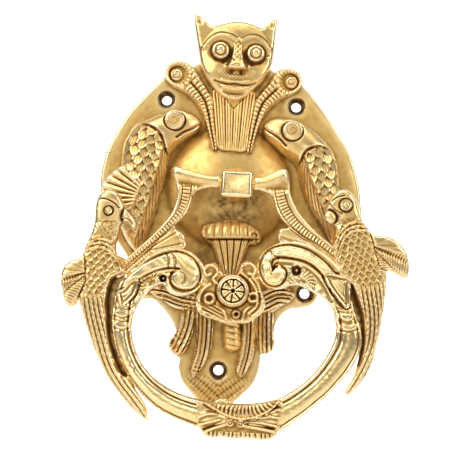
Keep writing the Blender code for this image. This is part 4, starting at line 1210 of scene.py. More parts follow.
ARMS = {
    "left": {
        "outline": [
            (-3.6, -40.6), (-8.0, -40.2), (-12.6, -39.4), (-20.0, -38.0), (-25.6, -36.6), (-27.2, -38.6),
            (-26.0, -42.0), (-24.8, -45.6), (-24.2, -51.5), (-26.0, -59.0), (-29.6, -64.6), (-34.4, -70.4),
            (-41.0, -77.2), (-46.0, -82.2), (-49.6, -85.8), (-51.6, -89.4), (-50.4, -92.6), (-46.2, -90.4),
            (-41.7, -86.5), (-37.2, -82.6), (-31.9, -79.2), (-26.3, -77.6), (-20.8, -77.4), (-18.2, -76.2),
            (-18.2, -73.0), (-19.6, -69.6), (-23.0, -67.6), (-23.8, -65.4), (-21.6, -62.8), (-18.6, -59.2),
            (-16.8, -53.9), (-15.2, -49.2), (-12.2, -47.2), (-8.0, -46.2), (-3.6, -45.6),
        ],
        "outer": [(-27.2, -36.0), (-24.8, -45.6), (-24.2, -51.5), (-26.0, -59.0), (-29.6, -64.6),
                  (-34.4, -70.4), (-41.0, -77.2), (-46.0, -82.2), (-51.6, -88.0)],
        "inner": [(-15.4, -42.0), (-16.0, -48.4), (-16.8, -53.9), (-18.6, -59.2), (-21.8, -63.2),
                  (-26.6, -68.4), (-33.0, -74.4), (-39.4, -80.4), (-45.0, -86.0), (-49.0, -90.0)],
        "fan_root": (-38.0, -79.0),
        "fan": [(-25.6, -68.4), (-21.0, -68.6), (-18.0, -71.0), (-18.0, -76.6), (-25.0, -77.0),
                (-36.0, -80.6), (-33.0, -75.4)],
        "bar": [(-3.6, -43.0), (-12.0, -42.8), (-20.0, -41.6), (-25.0, -40.0)],
        "hand": 1.0,
    },
    "right": {
        "outline": [
            (12.8, -40.6), (17.0, -39.6), (20.4, -38.0), (24.6, -35.8), (28.2, -35.2), (29.8, -38.0),
            (30.3, -41.6), (31.0, -46.6), (34.1, -53.8), (38.9, -59.9), (45.5, -66.0), (51.2, -70.2),
            (54.6, -72.8), (56.0, -76.6), (57.2, -82.0), (55.2, -82.4), (51.9, -78.6), (46.3, -74.6),
            (39.8, -71.8), (34.1, -70.7), (28.6, -71.4), (26.2, -70.4), (25.6, -66.6), (27.0, -64.2),
            (30.2, -63.8), (30.0, -62.4), (27.4, -60.4), (24.1, -55.3), (22.2, -49.4), (19.0, -47.2),
            (16.0, -46.4), (12.8, -45.8),
        ],
        "outer": [(29.8, -36.0), (30.3, -41.6), (31.0, -46.6), (34.1, -53.8), (38.9, -59.9), (45.5, -66.0),
                  (51.2, -70.2), (57.0, -75.0)],
        "inner": [(21.4, -41.6), (22.2, -48.8), (24.1, -55.3), (27.2, -60.2), (31.6, -64.6), (38.0, -68.8),
                  (45.0, -72.0), (51.4, -76.4), (56.0, -81.6)],
        "fan_root": (44.0, -73.0),
        "fan": [(30.6, -64.4), (26.8, -64.2), (25.4, -66.4), (26.0, -70.8), (33.0, -71.0), (43.0, -72.4),
                (38.0, -69.0)],
        "bar": [(12.8, -43.2), (18.0, -42.8), (23.0, -41.0), (27.0, -39.0)],
        "hand": -1.0,
    },
}


def arm_heights(side, sheet):
    arm = ARMS[side]
    points = sheet.points
    back_level, front_level = heights_of("arm_" + side)
    swell = sheet.swell()
    along, across = between(arm["outer"], arm["inner"], points)
    place = (across + 1) / 2
    top = ease((points[:, 1] + 47.5) / 3.0)
    notch = notches(along, 1.62, 0.7)
    rim = bow((place - 0.14) / 0.20)
    band = ease((place - 0.32) / 0.08) * ease((0.84 - place) / 0.08)
    lip = bell(place - 0.93, 0.06)
    carved = 0.95 * rim + band * (0.15 + 0.75 * notch) + 0.7 * lip
    plain = 1.5 * bell(distance(points, arm["bar"]), 2.6) - 0.3
    fan = depth_in(points, arm["fan"])
    x, z = (points - arm["fan_root"]).T
    turn = np.arctan2(z, x * arm["hand"])
    ribs = np.abs(np.sin(turn * 9.5 + 0.6)) ** 0.6
    reach = np.hypot(x, z)
    leaf = 0.25 + 0.85 * ribs - 0.35 * ease((reach - 14.0) / 6.0) + 0.4 * ease((reach - 17.0) / 2.0)
    in_fan = ease(fan / 0.7 + 0.3)
    surface = carved * (1 - top) + plain * top
    surface = surface * (1 - in_fan) + leaf * in_fan
    crown = np.minimum(swell / 3.4, 1.0)
    rise = (front_level - back_level) / 2
    middle = (front_level + back_level) / 2
    taper = 0.74 + 0.26 * ease((np.abs(points[:, 0] - 4.6) - 9.0) / 10.0)
    front = middle + (rise - 1.3) * taper * round_over(swell, 3.6) + 1.15 * surface * crown**0.5
    back = middle - (rise - 0.2) * taper * round_over(swell, 2.8)
    front += 0.07 * wobble(points, 1.8, 11.0)
    return front, back + 0.12 * wobble(points, 2.6, 12.0)


RING_OUTER = [
    (-35.1, -80.4), (-41.2, -86.0), (-46.0, -91.0), (-50.0, -97.0), (-51.4, -105.6), (-51.4, -114.8),
    (-49.7, -123.5), (-47.0, -130.5), (-43.4, -137.0), (-39.3, -142.5), (-34.7, -147.4), (-29.0, -152.2),
    (-21.7, -156.2), (-14.3, -158.9), (-4.3, -161.6), (12.5, -163.0), (26.0, -162.0), (32.9, -159.5),
    (37.2, -156.2), (42.4, -152.3), (47.6, -147.6), (52.8, -142.9), (57.1, -138.0), (61.0, -133.2),
    (64.4, -128.0), (67.0, -122.6), (68.2, -116.4), (67.0, -109.0), (64.0, -101.6), (62.2, -94.0),
    (61.4, -86.0), (56.8, -82.0), (51.7, -77.6), (46.1, -73.4),
]
RING_INNER = [
    (-41.0, -98.6), (-41.2, -103.0), (-41.6, -110.0), (-41.6, -116.7), (-40.3, -122.9), (-37.7, -129.1),
    (-34.4, -134.1), (-29.8, -138.6), (-24.3, -142.2), (-18.7, -145.0), (-10.1, -147.4), (0.0, -148.6),
    (12.5, -148.8), (22.5, -147.4), (29.6, -145.1), (34.8, -142.2), (40.0, -138.3), (44.3, -134.3),
    (48.6, -128.9), (51.9, -123.4), (54.4, -117.9), (55.5, -112.4), (55.3, -107.0), (53.7, -101.9),
    (50.8, -97.0), (48.6, -91.6), (45.6, -86.8),
]
RING_OUTLINE = RING_OUTER + [
    (39.6, -70.8), (33.0, -69.9), (26.6, -71.0), (20.6, -74.0), (17.0, -79.0), (16.4, -85.0), (18.6, -90.6),
    (23.4, -93.9), (28.6, -93.4), (32.4, -91.8), (37.0, -91.2), (42.0, -93.2), (46.6, -95.6), (50.8, -98.8),
    (53.6, -103.0), (55.0, -107.6), (55.4, -112.4), *RING_INNER[20:2:-1],
    (-41.4, -111.3), (-39.8, -105.8), (-37.4, -101.0), (-34.0, -97.2), (-30.2, -94.6), (-27.4, -94.6),
    (-25.4, -97.6), (-21.6, -99.3), (-16.6, -99.2), (-11.6, -96.4), (-8.4, -90.8), (-8.8, -84.6),
    (-12.6, -79.8), (-18.8, -76.8), (-26.4, -76.3), (-31.4, -78.0),
]
SCROLLS = {
    "left": {
        "body": [(-47.6, -95.6), (-44.4, -90.6), (-39.6, -86.2), (-34.7, -82.8), (-30.3, -80.6),
                 (-25.7, -78.9), (-20.6, -78.6), (-15.2, -80.8), (-11.6, -85.2), (-10.7, -90.4),
                 (-13.2, -95.2), (-18.6, -96.4), (-23.2, -94.6), (-24.8, -90.8), (-23.4, -87.8),
                 (-20.6, -86.4), (-26.8, -86.4), (-32.4, -88.2), (-38.0, -91.4), (-42.4, -95.4),
                 (-45.0, -99.6)],
        "rim": [(-44.0, -88.0), (-40.0, -84.6), (-35.1, -80.9), (-27.5, -77.4), (-20.8, -77.0),
                (-14.4, -79.0), (-9.6, -84.6), (-9.2, -90.4), (-12.2, -96.2), (-18.6, -98.2),
                (-24.0, -96.4), (-26.2, -92.0), (-25.6, -89.0)],
        "under": [(-43.4, -97.6), (-38.8, -92.8), (-33.0, -89.4), (-26.8, -87.4), (-20.6, -87.0)],
        "ball": (np.array((-20.9, -90.8)), 3.1),
        "hand": 1.0,
        "cuts": [[(-27.2, -79.6), (-26.2, -82.4),
                  (-25.9, -85.8)], [(-24.3, -79.4), (-23.2, -82.2), (-22.7, -85.6)]],
        "pit": (np.array((-28.4, -91.4)), 1.5),
        "web": (-33.0, -94.0),
    },
    "right": {
        "body": [(56.4, -88.6), (52.0, -82.6), (46.2, -77.4), (39.9, -74.0), (32.0, -72.4), (24.6, -73.6),
                 (19.7, -77.4), (17.9, -82.7), (19.2, -88.3), (22.8, -91.8), (27.4, -91.6), (30.3, -87.8),
                 (29.2, -83.4), (26.4, -81.8), (25.4, -84.4), (24.0, -84.2), (23.4, -80.4), (26.4, -78.2),
                 (33.0, -78.4), (40.0, -79.8), (45.6, -83.4), (50.0, -88.6), (53.4, -94.6)],
        "rim": [(57.6, -84.6), (52.0, -78.4), (46.1, -74.4), (39.8, -71.9), (32.4, -70.9), (25.6, -72.0),
                (20.0, -75.4), (16.8, -81.4), (17.6, -88.0), (21.4, -92.4), (26.6, -93.2), (30.8, -90.6)],
        "under": [(53.0, -96.6), (49.4, -90.4), (45.0, -85.0), (39.4, -81.2), (33.0, -79.8), (27.4, -79.6)],
        "ball": (np.array((27.0, -86.3)), 3.3),
        "hand": -1.0,
        "cuts": [[(22.2, -75.6), (24.2, -77.6),
                  (27.0, -78.8)], [(24.4, -84.8), (24.8, -82.2), (26.4, -80.8)]],
        "pit": (np.array((35.4, -84.2)), 2.1),
        "web": (38.0, -90.0),
    },
}
PLAQUES = [
    [(-50.1, -99.0), (-46.8, -97.1), (-44.4, -94.0), (-41.9, -92.1), (-39.8, -92.9), (-39.7, -96.2),
     (-41.0, -100.1), (-43.8, -103.6), (-46.3, -106.0), (-48.3, -105.2), (-49.4, -102.0)],
    [(48.4, -86.0), (51.7, -84.4), (57.0, -85.3), (61.6, -86.0), (61.4, -91.7), (61.6, -99.3),
     (59.6, -101.2), (55.6, -97.2), (51.1, -91.5)],
]
CROSS_BARS = [
    [(-50.4, -108.6), (-45.6, -109.2), (-41.6, -107.6)], [(-50.6, -114.0), (-45.8, -114.8), (-41.8, -113.6)],
    [(56.4, -104.6), (60.8, -105.2), (65.0, -103.6)], [(56.4, -109.4), (61.0, -110.0), (66.4, -108.6)],
]


def ring_heights(sheet):
    points = sheet.points
    x, z = points.T
    back_level, front_level = heights_of("ring")
    swell = sheet.swell()
    _, across = between(RING_OUTER, RING_INNER, points)
    middle = (front_level + back_level) / 2
    rise = (front_level - back_level) / 2
    front = middle + (rise - 1.6) * round_over(swell, 3.6)
    side = ease((-99.0 - z) / 6.0)
    place = np.abs(across + 0.06)
    raised = bow(place / 0.62)
    rims = bell(place - 0.84, 0.13)
    grooves = bell(place - 0.67, 0.06)
    band = 1.6 * raised + 0.5 * rims - 0.25 * grooves
    front += side * band
    for scroll in SCROLLS.values():
        near_scroll = (1 - side) * ease(scroll["hand"] * (1.0 - x / 4.0))
        depth = depth_in(points, scroll["body"])
        body = np.where(depth > 0, 1.9 * round_over(depth, 3.0) + 0.1, 0.0)
        body -= 0.3 * bell(depth, 0.6)
        centre, radius = scroll["ball"]
        reach = reach_from(points, centre)
        bulb = 1.2 + 1.15 * bow(reach / radius)
        body = np.where(reach < radius, np.maximum(body, bulb), body)
        upper = np.abs(np.arctan2(*(points - centre).T) - 0.4) < 2.2
        body -= 0.65 * bell(reach - radius - 0.2, 0.5) * upper
        for cut in scroll["cuts"]:
            body -= 0.85 * line_mark(points, cut, 0.42)
        under = scroll["under"]
        hollow = shifted(under, 0.0, -1.5)
        body += marks(points, [(0.7, 0.62, scroll["rim"]), (0.45, 0.6, under), (-0.35, 0.6, hollow)])
        web = np.array(scroll["web"])
        reach = reach_from(points, web)
        turn = np.arctan2(*(points - web).T[::-1])
        rope = notches(turn * 7.0 + 0.4 * reach, 2.2, 0.5)
        in_web = ease((7.4 - reach) / 2.0) * (depth < -0.9)
        body += in_web * (0.9 * rope * ease((reach - 1.2) / 1.6) - 1.1)
        pit, size = scroll["pit"]
        reach = reach_from(points, pit)
        body -= 2.6 * ease((size + 0.6 - reach) / 0.9)
        body += 1.5 * cap(points, pit + (0.2, 0.1), 0.8)
        front += near_scroll * body
    for outline in PLAQUES:
        depth = depth_in(points, outline)
        tall = front_level - 0.65 - 0.55 * ease((depth - 0.9) / 0.5) + 0.55 * ease((depth - 2.1) / 0.8)
        engraved = np.array(outline) * 0.6 + np.mean(outline, axis=0) * 0.4
        tall -= 0.25 * line_mark(points, engraved, 0.35, closed=True)
        front = np.where(depth > 0, tall, front - 0.6 * bell(depth, 0.8))
    for bar in CROSS_BARS:
        above, below = shifted(bar, 0.0, 1.9), shifted(bar, 0.0, -1.9)
        front += marks(points, [(0.9, 1.0, bar), (-0.5, 0.6, above), (-0.5, 0.6, below)])
    front = np.minimum(front, front_level)
    back = middle - rise * round_over(swell, 3.8)
    return front + 0.06 * wobble(points, 2.2, 13.0) - 0.06, back + 0.10 * wobble(points, 3.0, 14.0)


def ring_grime(points):
    """The copper-coloured braze where the ring meets the left parrot."""
    return 0.45 * mound(points, (-51.0, -97.0), 3.0, (0.8, 1.5))


PARROTS = {
    "left": {
        "outline": [
            (-57.0, -49.8), (-60.6, -51.6), (-62.6, -55.6), (-63.0, -61.0), (-63.0, -66.0), (-64.2, -71.0),
            (-66.0, -76.0), (-67.6, -81.6), (-69.6, -84.0), (-73.6, -85.4), (-76.6, -89.0), (-77.4, -94.0),
            (-76.4, -100.0), (-74.4, -105.6), (-72.0, -107.6), (-69.4, -106.4), (-67.8, -103.6),
            (-66.8, -108.6), (-64.8, -114.0), (-61.0, -122.6), (-56.6, -131.8), (-51.4, -140.4),
            (-45.0, -148.0), (-38.6, -154.4), (-32.6, -158.8), (-31.6, -157.4), (-33.0, -151.6),
            (-37.8, -145.0), (-42.2, -137.6), (-46.2, -130.4), (-49.0, -123.6), (-50.6, -117.0),
            (-51.0, -110.0), (-50.8, -104.6), (-49.6, -100.6), (-47.8, -96.0), (-46.6, -90.0),
            (-46.0, -84.0), (-48.4, -82.4), (-51.0, -80.8), (-51.8, -77.0), (-50.8, -72.4), (-50.2, -69.4),
            (-49.6, -66.4), (-47.0, -66.2), (-44.0, -68.8), (-42.6, -67.4), (-43.4, -63.6), (-46.0, -60.2),
            (-48.8, -57.4), (-50.6, -54.0), (-53.2, -50.8),
        ],
        "spine": [(-57.0, -50.0), (-56.8, -58.0), (-56.2, -66.0), (-56.8, -74.0), (-58.4, -82.0),
                  (-60.0, -90.0), (-60.8, -98.0), (-60.2, -106.0), (-57.8, -116.0), (-54.6, -125.0),
                  (-50.0, -135.0), (-44.0, -144.0), (-37.0, -152.6), (-32.2, -158.2)],
        "head_end": 15.5,
        "collars": (24.5, 26.4, 28.6),
        "wing": [
            (-66.6, -82.4), (-69.8, -83.6), (-73.8, -85.2), (-76.8, -89.0), (-77.8, -94.0), (-76.6, -100.0),
            (-74.6, -105.8), (-72.0, -108.0), (-69.2, -106.6), (-67.0, -101.0), (-65.0, -95.0),
            (-65.6, -88.0)],
        "wing_root": (-63.0, -90.0),
        "eye": (np.array((-56.2, -60.4)), 1.7),
        "tail_start": 50.0,
        "hand": 1.0,
        "beak": [(-50.4, -62.4), (-48.8, -58.6), (-46.4, -60.2), (-43.4, -63.6), (-42.4, -67.4),
                 (-44.0, -69.0), (-46.4, -66.0), (-49.4, -65.2)],
        "crest": [(-61.4, -54.6), (-57.6, -54.8), (-53.6, -56.6), (-51.2, -58.8)],
        "gape": [(-50.0, -64.4), (-46.8, -63.6), (-44.2, -66.6)],
        "web": [
            (-52.6, -92.6), (-48.0, -90.0), (-45.6, -92.0), (-46.8, -96.0), (-48.6, -100.6),
            (-49.8, -105.0), (-50.0, -111.0), (-49.6, -117.0), (-48.0, -123.6), (-45.2, -130.4),
            (-41.2, -137.6), (-45.0, -138.2), (-49.2, -131.0), (-52.0, -124.0), (-53.4, -117.0),
            (-54.2, -110.0), (-55.0, -104.6), (-54.4, -98.0), (-53.6, -95.0)],
    },
    "right": {
        "outline": [
            (56.6, -43.4), (60.0, -44.8), (62.6, -48.4), (64.0, -53.0), (65.8, -57.6), (68.6, -61.6),
            (71.0, -64.4), (75.6, -65.0), (80.0, -65.6), (84.8, -68.6), (88.2, -73.2), (89.6, -78.4),
            (89.4, -84.2), (87.6, -85.0), (83.4, -83.4), (79.4, -82.0), (79.0, -86.0), (78.8, -92.0),
            (78.2, -100.0), (77.0, -109.0), (75.6, -118.0), (73.4, -126.6), (69.6, -134.8), (63.6, -141.6),
            (61.2, -141.2), (62.4, -138.0), (65.0, -133.0), (66.6, -127.0), (67.6, -120.0), (67.4, -111.0),
            (64.6, -103.4), (60.8, -97.0), (58.4, -90.4), (55.0, -84.0), (53.0, -78.0), (52.4, -72.0),
            (52.6, -66.6), (53.0, -62.6), (50.4, -60.8), (47.8, -58.4), (47.6, -55.0), (49.2, -50.4),
            (51.4, -46.6), (53.6, -44.2),
        ],
        "spine": [(56.8, -43.6), (57.6, -50.0), (60.0, -58.0), (63.0, -66.0), (66.4, -74.0), (69.0, -82.0),
                  (71.0, -90.0), (72.8, -100.0), (73.4, -110.0), (72.8, -119.0), (70.4, -127.0),
                  (66.6, -134.6), (62.4, -140.8)],
        "head_end": 15.0,
        "collars": (17.0, 19.0, 21.0),
        "wing": [
            (70.4, -64.4), (75.6, -64.8), (80.0, -65.4), (85.0, -68.4), (88.6, -73.2), (90.0, -78.4),
            (89.8, -84.6), (87.6, -85.4), (83.4, -83.8), (79.0, -82.4), (75.0, -80.4), (72.8, -75.0),
            (71.4, -70.0)],
        "wing_root": (69.0, -70.0),
        "eye": (np.array((57.6, -51.6)), 2.7),
        "tail_start": 46.0,
        "hand": -1.0,
        "beak": [(52.2, -54.6), (49.4, -54.0), (47.4, -56.4), (47.8, -59.4), (50.6, -61.0), (53.4, -60.0),
                 (54.0, -57.0)],
        "crest": [(50.6, -49.8), (53.8, -47.6), (57.0, -46.8)],
        "gape": [(49.0, -50.6), (52.6, -54.0), (56.0, -55.6)],
        "web": [
            (56.4, -86.0), (60.4, -88.0), (63.4, -91.0), (65.6, -97.0), (68.0, -103.4), (69.2, -111.0),
            (69.2, -120.0), (67.6, -127.6), (65.6, -127.6), (66.6, -120.0), (66.4, -111.0), (63.6, -103.4),
            (59.8, -97.0), (57.4, -90.4)],
    },
}


def parrot_heights(side, sheet):
    parrot = PARROTS[side]
    points = sheet.points
    back_level, front_level = heights_of("parrot_" + side)
    middle = (front_level + back_level) / 2
    swell = sheet.swell()
    along, offset = follow(parrot["spine"], points)
    wing = depth_in(points, parrot["wing"])
    body = 4.2 * np.tanh(0.92 * swell / 4.2)
    in_wing = ease(wing / 1.4 + 0.5)
    head = ease((parrot["head_end"] - along) / 1.5)
    tail = ease((along - parrot["tail_start"]) / 6.0)
    feathers = shingles(along + 0.3 * np.sin(offset), offset, 2.7, 3.4, 0.25, 0.08)
    plumage = 0.75 * feathers - 0.2
    long_cuts = np.abs(np.sin(math.pi * (offset + 0.35 * np.sin(along * 0.16)) / 2.1)) ** 0.6
    train = 1.1 * long_cuts - 0.3 + 0.06 * np.sin(along * 1.9 + offset * 2.0)
    skin = plumage * (1 - tail) + train * tail
    neck = ease((parrot["collars"][0] - along) / 2.0)
    skin *= 1 - 0.75 * neck
    skin += 0.22 * neck * (1 - head) * wobble(points, 0.8, 1.0)
    ring = np.zeros(len(points))
    for collar in parrot["collars"]:
        ring = np.maximum(ring, bell(along - 0.06 * offset**2 - collar, 0.62))
    skin += 0.8 * ring
    front = body + skin * ease(swell / 1.2)
    front = front * (1 - head) + head * (body + 0.35)
    front -= 0.9 * line_mark(points, parrot["crest"], 0.4)
    centre, radius = parrot["eye"]
    reach = reach_from(points, centre)
    front -= 0.8 * bell(reach - radius - 0.5, 0.45)
    button = body + 0.9 + 0.5 * cap(points, centre, radius * 1.4)
    front = np.where(reach < radius + 0.2, button, front)
    front -= 0.5 * ring_mark(points, centre, radius * 0.58, 0.3)
    beak = depth_in(points, parrot["beak"])
    front = np.where(beak > 0, 1.4 + 2.0 * np.minimum(np.sqrt(np.clip(beak, 0, 9) / 2.2), 1.0), front)
    front -= 0.8 * bell(beak, 0.45) * (beak <= 0)
    front -= 0.8 * line_mark(points, parrot["gape"], 0.38)
    # Wing: a rolled upper feather over rows of short barbed ones.
    root = np.array(parrot["wing_root"])
    x, z = (points - root).T
    turn = np.arctan2(-z, -x * parrot["hand"])
    reach = np.hypot(x, z)
    barbs = np.abs(np.sin(reach * 2.2 + 6.0 * np.abs(np.sin(turn * 4.5)))) ** 0.7
    bands = bell((turn * 4.2) % 2.0 - 1.0, 0.16)
    round_wing = 3.4 * np.tanh(0.75 * swell / 3.4)
    quills = 0.5 + round_wing + 0.7 * barbs - 0.6 * bands
    upper = 1.2 + round_wing + 0.35 * np.abs(np.sin(turn * 9.0)) ** 0.6
    upper_share = ease((0.35 - turn) / 0.2)
    feathered = quills * (1 - upper_share) + upper * upper_share
    seam = bell(turn - 0.35, 0.07)
    feathered -= 0.9 * seam
    feathered *= round_over(swell, 1.6)
    front = np.where(wing > 0.2, feathered, front)
    front -= 0.6 * bell(wing - 0.2, 0.6)
    web = ease(depth_in(points, parrot["web"]) / 1.4 + 0.4)
    front = front * (1 - web) + web * (0.2 + 0.35 * wobble(points, 2.4, 17.0))
    rear = 4.4 * np.tanh(0.9 * swell / 4.4) * (1 - 0.45 * in_wing)
    rear += (0.30 * feathers + 0.1) * (1 - in_wing) * ease(swell / 1.5)
    rear -= 0.3 * barbs * in_wing * ease(swell / 1.2)
    front = np.minimum(front, front_level - middle)
    return middle + front + 0.06 * wobble(points, 1.7, 15.0), middle - np.minimum(rear, middle - back_level)


def parrot_braze_and_shade(side, points):
    """Dark copper-coloured braze in the web between a parrot and the ring, and painted shade round its beak.
    """
    parrot = PARROTS[side]
    web = 0.62 * ease(depth_in(points, parrot["web"]) / 1.6 + 0.3)
    # Painted shade in a band along the beak's outline.
    mouth = 0.5 * bell(depth_in(points, parrot["beak"]), 0.8)
    return np.maximum(web, mouth) * (0.8 + 0.2 * wobble(points, 1.5, 18.0))


MOUNT_OUTLINE = [
    (-3.6, -82.6), (-6.4, -82.4), (-9.4, -84.4), (-10.8, -88.4), (-9.4, -92.0), (-10.6, -95.4),
    (-12.0, -99.4), (-11.6, -104.2), (-8.8, -108.2), (-3.0, -109.8), (2.2, -111.4), (7.2, -111.0),
    (12.3, -110.8), (16.2, -108.8), (19.6, -105.6), (21.4, -101.8), (20.6, -97.2), (18.8, -93.2),
    (18.0, -89.0), (17.0, -84.6), (14.0, -80.8), (10.4, -81.0), (7.8, -84.2), (7.0, -87.2), (4.4, -87.6),
    (0.8, -87.4), (-1.2, -84.8),
]
FLOWER_CENTRE = np.array((5.4, -95.6))
MOUNT_BOSSES = [((-5.6, -99.8), 2.9), ((15.0, -98.2), 2.7), ((7.6, -106.6), 2.0)]
MOUNT_CURLS = [
    [(-2.0, -92.6), (-4.4, -90.4), (-2.4, -87.6), (-3.6, -84.4), (-6.6, -83.8), (-8.9, -86.2),
     (-7.6, -88.8), (-5.6, -88.2)],
    [(11.6, -88.6), (8.9, -86.2), (9.6, -83.0), (12.8, -81.8), (15.6, -83.8), (15.2, -87.0), (12.6, -87.0)],
    [(14.6, -88.6), (17.2, -91.6), (18.6, -95.0), (19.8, -99.4), (18.6, -104.0), (15.4, -107.2)],
    [(13.2, -89.8), (15.6, -93.0), (17.4, -97.6), (17.0, -102.4), (13.6, -105.8)],
    [(-5.6, -93.0), (-8.6, -95.4), (-10.4, -99.4), (-10.2, -103.8), (-7.6, -107.0)],
    [(-1.6, -103.4), (1.6, -105.6), (3.2, -109.4)],
    [(13.4, -103.0), (11.4, -105.4), (10.6, -109.6)],
]


def mount_heights(sheet):
    """Acanthus curls, ringed bosses and grooved lobes round the flower."""
    points = sheet.points
    x, z = points.T
    back_level, front_level = heights_of("rosette_mount")
    swell = sheet.swell()
    front = 21.6 + 3.4 * round_over(swell, 5.0)
    for curl in MOUNT_CURLS:
        front += 1.25 * line_mark(points, curl, 0.75)
    for centre, radius in MOUNT_BOSSES:
        front += 1.5 * ring_mark(points, centre, radius * 0.72, radius * 0.30)
        front -= 0.5 * mound(points, centre, radius * 0.40)
        front -= 0.3 * ring_mark(points, centre, radius * 1.25, 0.4)
    lobe = mound(points, (-4.6, -106.4), 4.2, (1.5, 0.75))
    front += lobe * (0.9 + 0.5 * np.sin((z + 0.45 * x) * 3.6))
    lobe = mound(points, (17.4, -95.6), 3.0, (0.6, 1.6))
    front += 0.5 * lobe * np.abs(np.sin((z - 0.3 * x) * 2.2))
    frill = ease((2.4 - sheet.edge()) / 1.4)
    turn = np.arctan2(*(points - FLOWER_CENTRE).T)
    front -= 0.75 * frill * (1 - np.abs(np.sin(turn * 17.0)) ** 0.5)
    reach = reach_from(points, FLOWER_CENTRE)
    front = np.where(reach < 7.9, 25.0 + 1.0 * bell(reach - 7.0, 0.8), front)
    front -= 0.6 * bell(reach - 8.3, 0.55)
    back = back_level + 2.0 * (1 - round_over(swell, 3.0)) + 0.15 * (1 + wobble(points, 2.2, 16.0))
    return np.minimum(front, front_level + 2.6), back


def flower_heights(sheet):
    points = sheet.points
    back_level, front_level = heights_of("rosette_flower")
    x, z = (points - FLOWER_CENTRE).T
    reach, turn = np.hypot(x, z), np.arctan2(z, x)
    petals = np.abs(np.sin(4 * turn + 0.3 + 0.25 * np.sin(3.0 * turn)))
    top = front_level - 1.5
    front = top + 1.25 * petals**0.45 * bow((reach - 3.2) / 2.7)
    front -= 0.5 * bell(petals, 0.28) * (reach < 5.3)
    front += 0.8 * bell(reach - 1.25, 0.35) - 0.9 * bell(reach, 0.6)
    rim = front_level - 0.15 - 1.1 * (1 - round_over(6.9 - reach, 0.9))
    front = np.where(reach > 5.7, rim, front - 0.7 * bell(reach - 5.6, 0.35))
    return np.minimum(front, front_level), np.full(len(points), back_level)


CLAPPER_OUTLINE = [
    (-9.4, -148.0), (-4.0, -148.9), (4.0, -149.3), (12.0, -149.3), (20.0, -148.5), (26.0, -146.9),
    (30.4, -145.4), (32.6, -149.6), (31.4, -155.4), (30.4, -160.0), (28.0, -163.6), (22.0, -164.8),
    (16.0, -164.2), (10.0, -164.8), (4.0, -164.3), (-1.0, -164.8), (-4.6, -163.6), (-7.6, -159.6),
    (-9.6, -154.6), (-8.6, -151.2),
]
CLAPPER_RIM = [
    (-5.4, -148.3), (0.2, -151.5), (4.3, -153.5), (9.1, -155.0), (13.9, -155.3), (18.6, -154.4),
    (23.4, -152.2), (26.8, -149.7), (29.2, -146.7),
]
CLAPPER_BACK = 22.4
CLAPPER_STRANDS = [
    [(5.6, -158.4), (1.0, -160.0), (-5.0, -162.4)],
    [(0.6, -153.6), (-4.0, -154.2), (-7.8, -156.0)],
    [(2.6, -156.2), (-2.4, -157.8), (-7.2, -159.2)],
    [(14.4, -158.8), (20.0, -159.4), (28.2, -160.6)],
    [(15.2, -157.0), (21.0, -156.8), (29.2, -158.0)],
    [(20.0, -155.2), (25.6, -153.8), (31.0, -154.4)],
    [(25.6, -152.6), (29.0, -150.4), (31.6, -150.6)],
]


def clapper_heights(sheet):
    """A leaf wrap: a scalloped crescent in a plain rim, two eyes, side strands and a notched fringe."""
    points = sheet.points
    x, z = points.T
    _, front_level = heights_of("clapper_leaf")
    front = 26.0 + 0.9 * round_over(sheet.edge(), 2.0)
    along, offset = follow(CLAPPER_RIM, points)
    crescent = depth_in(points, CLAPPER_RIM + [(20.0, -146.0), (12.0, -147.0), (4.0, -147.0)])
    scallop = notches(along + 0.9 * np.sin(0.5 * np.abs(offset)), 2.2, 0.6)
    front += ease(crescent / 0.8) * (1.3 * scallop - 1.1)
    lines = [(1.7, 0.8, CLAPPER_RIM), (-0.5, 0.45, shifted(CLAPPER_RIM, 0.0, -1.5))]
    for strand in CLAPPER_STRANDS:
        lines += [(1.2, 0.75, strand), (-0.7, 0.4, shifted(strand, 0.0, 1.25))]
    front += marks(points, lines)
    for eye in ((7.4, -157.5), (12.2, -157.8)):
        reach = reach_from(points, eye)
        front += 1.5 * bell(reach - 1.3, 0.6) - 0.8 * bell(reach, 0.6)
    fringe = ease((-161.4 - z) / 0.9)
    slant = x + 0.15 * (z + 160.0) * np.sign(x - 11.0) + 0.5 * np.sin(0.8 * x)
    front += fringe * (1.2 * notches(slant, 2.4, 0.6) - 0.6)
    front = np.minimum(front + 0.1 * wobble(points, 1.3, 19.0), front_level)
    return front, np.full(len(points), CLAPPER_BACK)


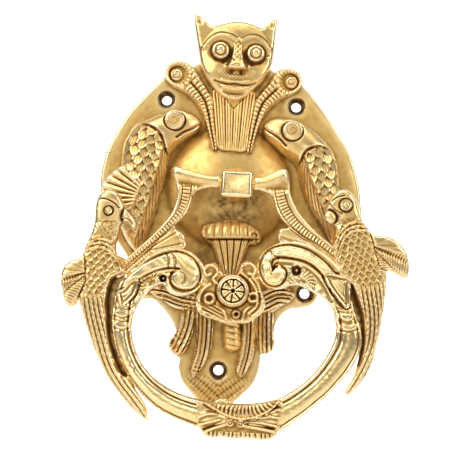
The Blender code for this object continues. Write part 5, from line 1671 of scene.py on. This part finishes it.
def build_knocker_side():
    frame["nodes"]["hinge_pin"].data.materials.clear()
    frame["nodes"]["hinge_pin"].data.materials.append(BRASS["polished_brass"])
    for side in ARMS:
        on_knocker("arm_" + side, ARMS[side]["outline"], partial(arm_heights, side), step=0.4)
    on_knocker("ring", RING_OUTLINE, ring_heights, "polished_brass", step=0.5, grime_and_shade=ring_grime)
    for side in PARROTS:
        carve, stain_and_shade = partial(parrot_heights, side), partial(parrot_braze_and_shade, side)
        on_knocker("parrot_" + side, PARROTS[side]["outline"], carve, step=0.42, grime_and_shade=stain_and_shade)
    on_knocker("rosette_mount", MOUNT_OUTLINE, mount_heights, step=0.36)
    on_knocker(
        "rosette_flower", circle(FLOWER_CENTRE, 6.9, 1.5), flower_heights,
        "polished_brass", step=0.3,
    )
    on_knocker("clapper_leaf", CLAPPER_OUTLINE, clapper_heights, step=0.36)
    back, front = heights_of("striker_boss")
    low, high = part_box("striker_boss")
    middle = (low + high) / 2 / MM
    striker = turned(
        "striker_boss",
        [(0.4, back), (2.4, back + 0.1), (3.8, back + 0.8), (4.4, back + 1.8), (4.6, back + 3.2),
         (4.3, front - 5.0), (4.5, front - 1.0), (4.5, front + 1.6), (0.4, front + 1.7)],
        (middle.x, middle.z), "polished_brass", wear=0.01,
    )
    settle(striker, "knocker", "striker_boss")


def build_plate_side():
    reliefs = [MASK_OUTLINE, BEARD_OUTLINE, CUP_OUTLINE, HANDLE_OUTLINE, LEFT_FIN]
    reliefs += [collar_outline(side) for side in COLLARS]
    reliefs += [fish["outline"] for fish in FISH.values()]
    reliefs += [outline for outline, _, _ in LEAVES.values()]
    build_plate(reliefs)
    on_plate("mask", MASK_OUTLINE, mask_height, step=0.36)
    on_plate("beard_fan", BEARD_OUTLINE, beard_height, "plate_brass", step=0.36)
    for side in COLLARS:
        on_plate("collar_scroll_" + side, collar_outline(side), partial(collar_height, side), step=0.36)
        on_plate("fish_" + side, FISH[side]["outline"], partial(fish_height, side), step=0.42)
    on_plate("fish_left_fin", LEFT_FIN, fin_height, replaced=False)
    on_plate("torch_cup", CUP_OUTLINE, cup_height, "plate_brass", step=0.4)
    on_plate("torch_handle", HANDLE_OUTLINE, handle_height, "plate_brass")
    for name, (outline, path, pitch) in LEAVES.items():
        on_plate(name, outline, partial(leaf_height, path, pitch))
    build_lug()


def main():
    low, high = CAD_BOX
    build_camera(low, high)
    build_world()
    build_lights((low + high) / 2)
    build_stage()
    build_plate_side()
    build_knocker_side()


main()
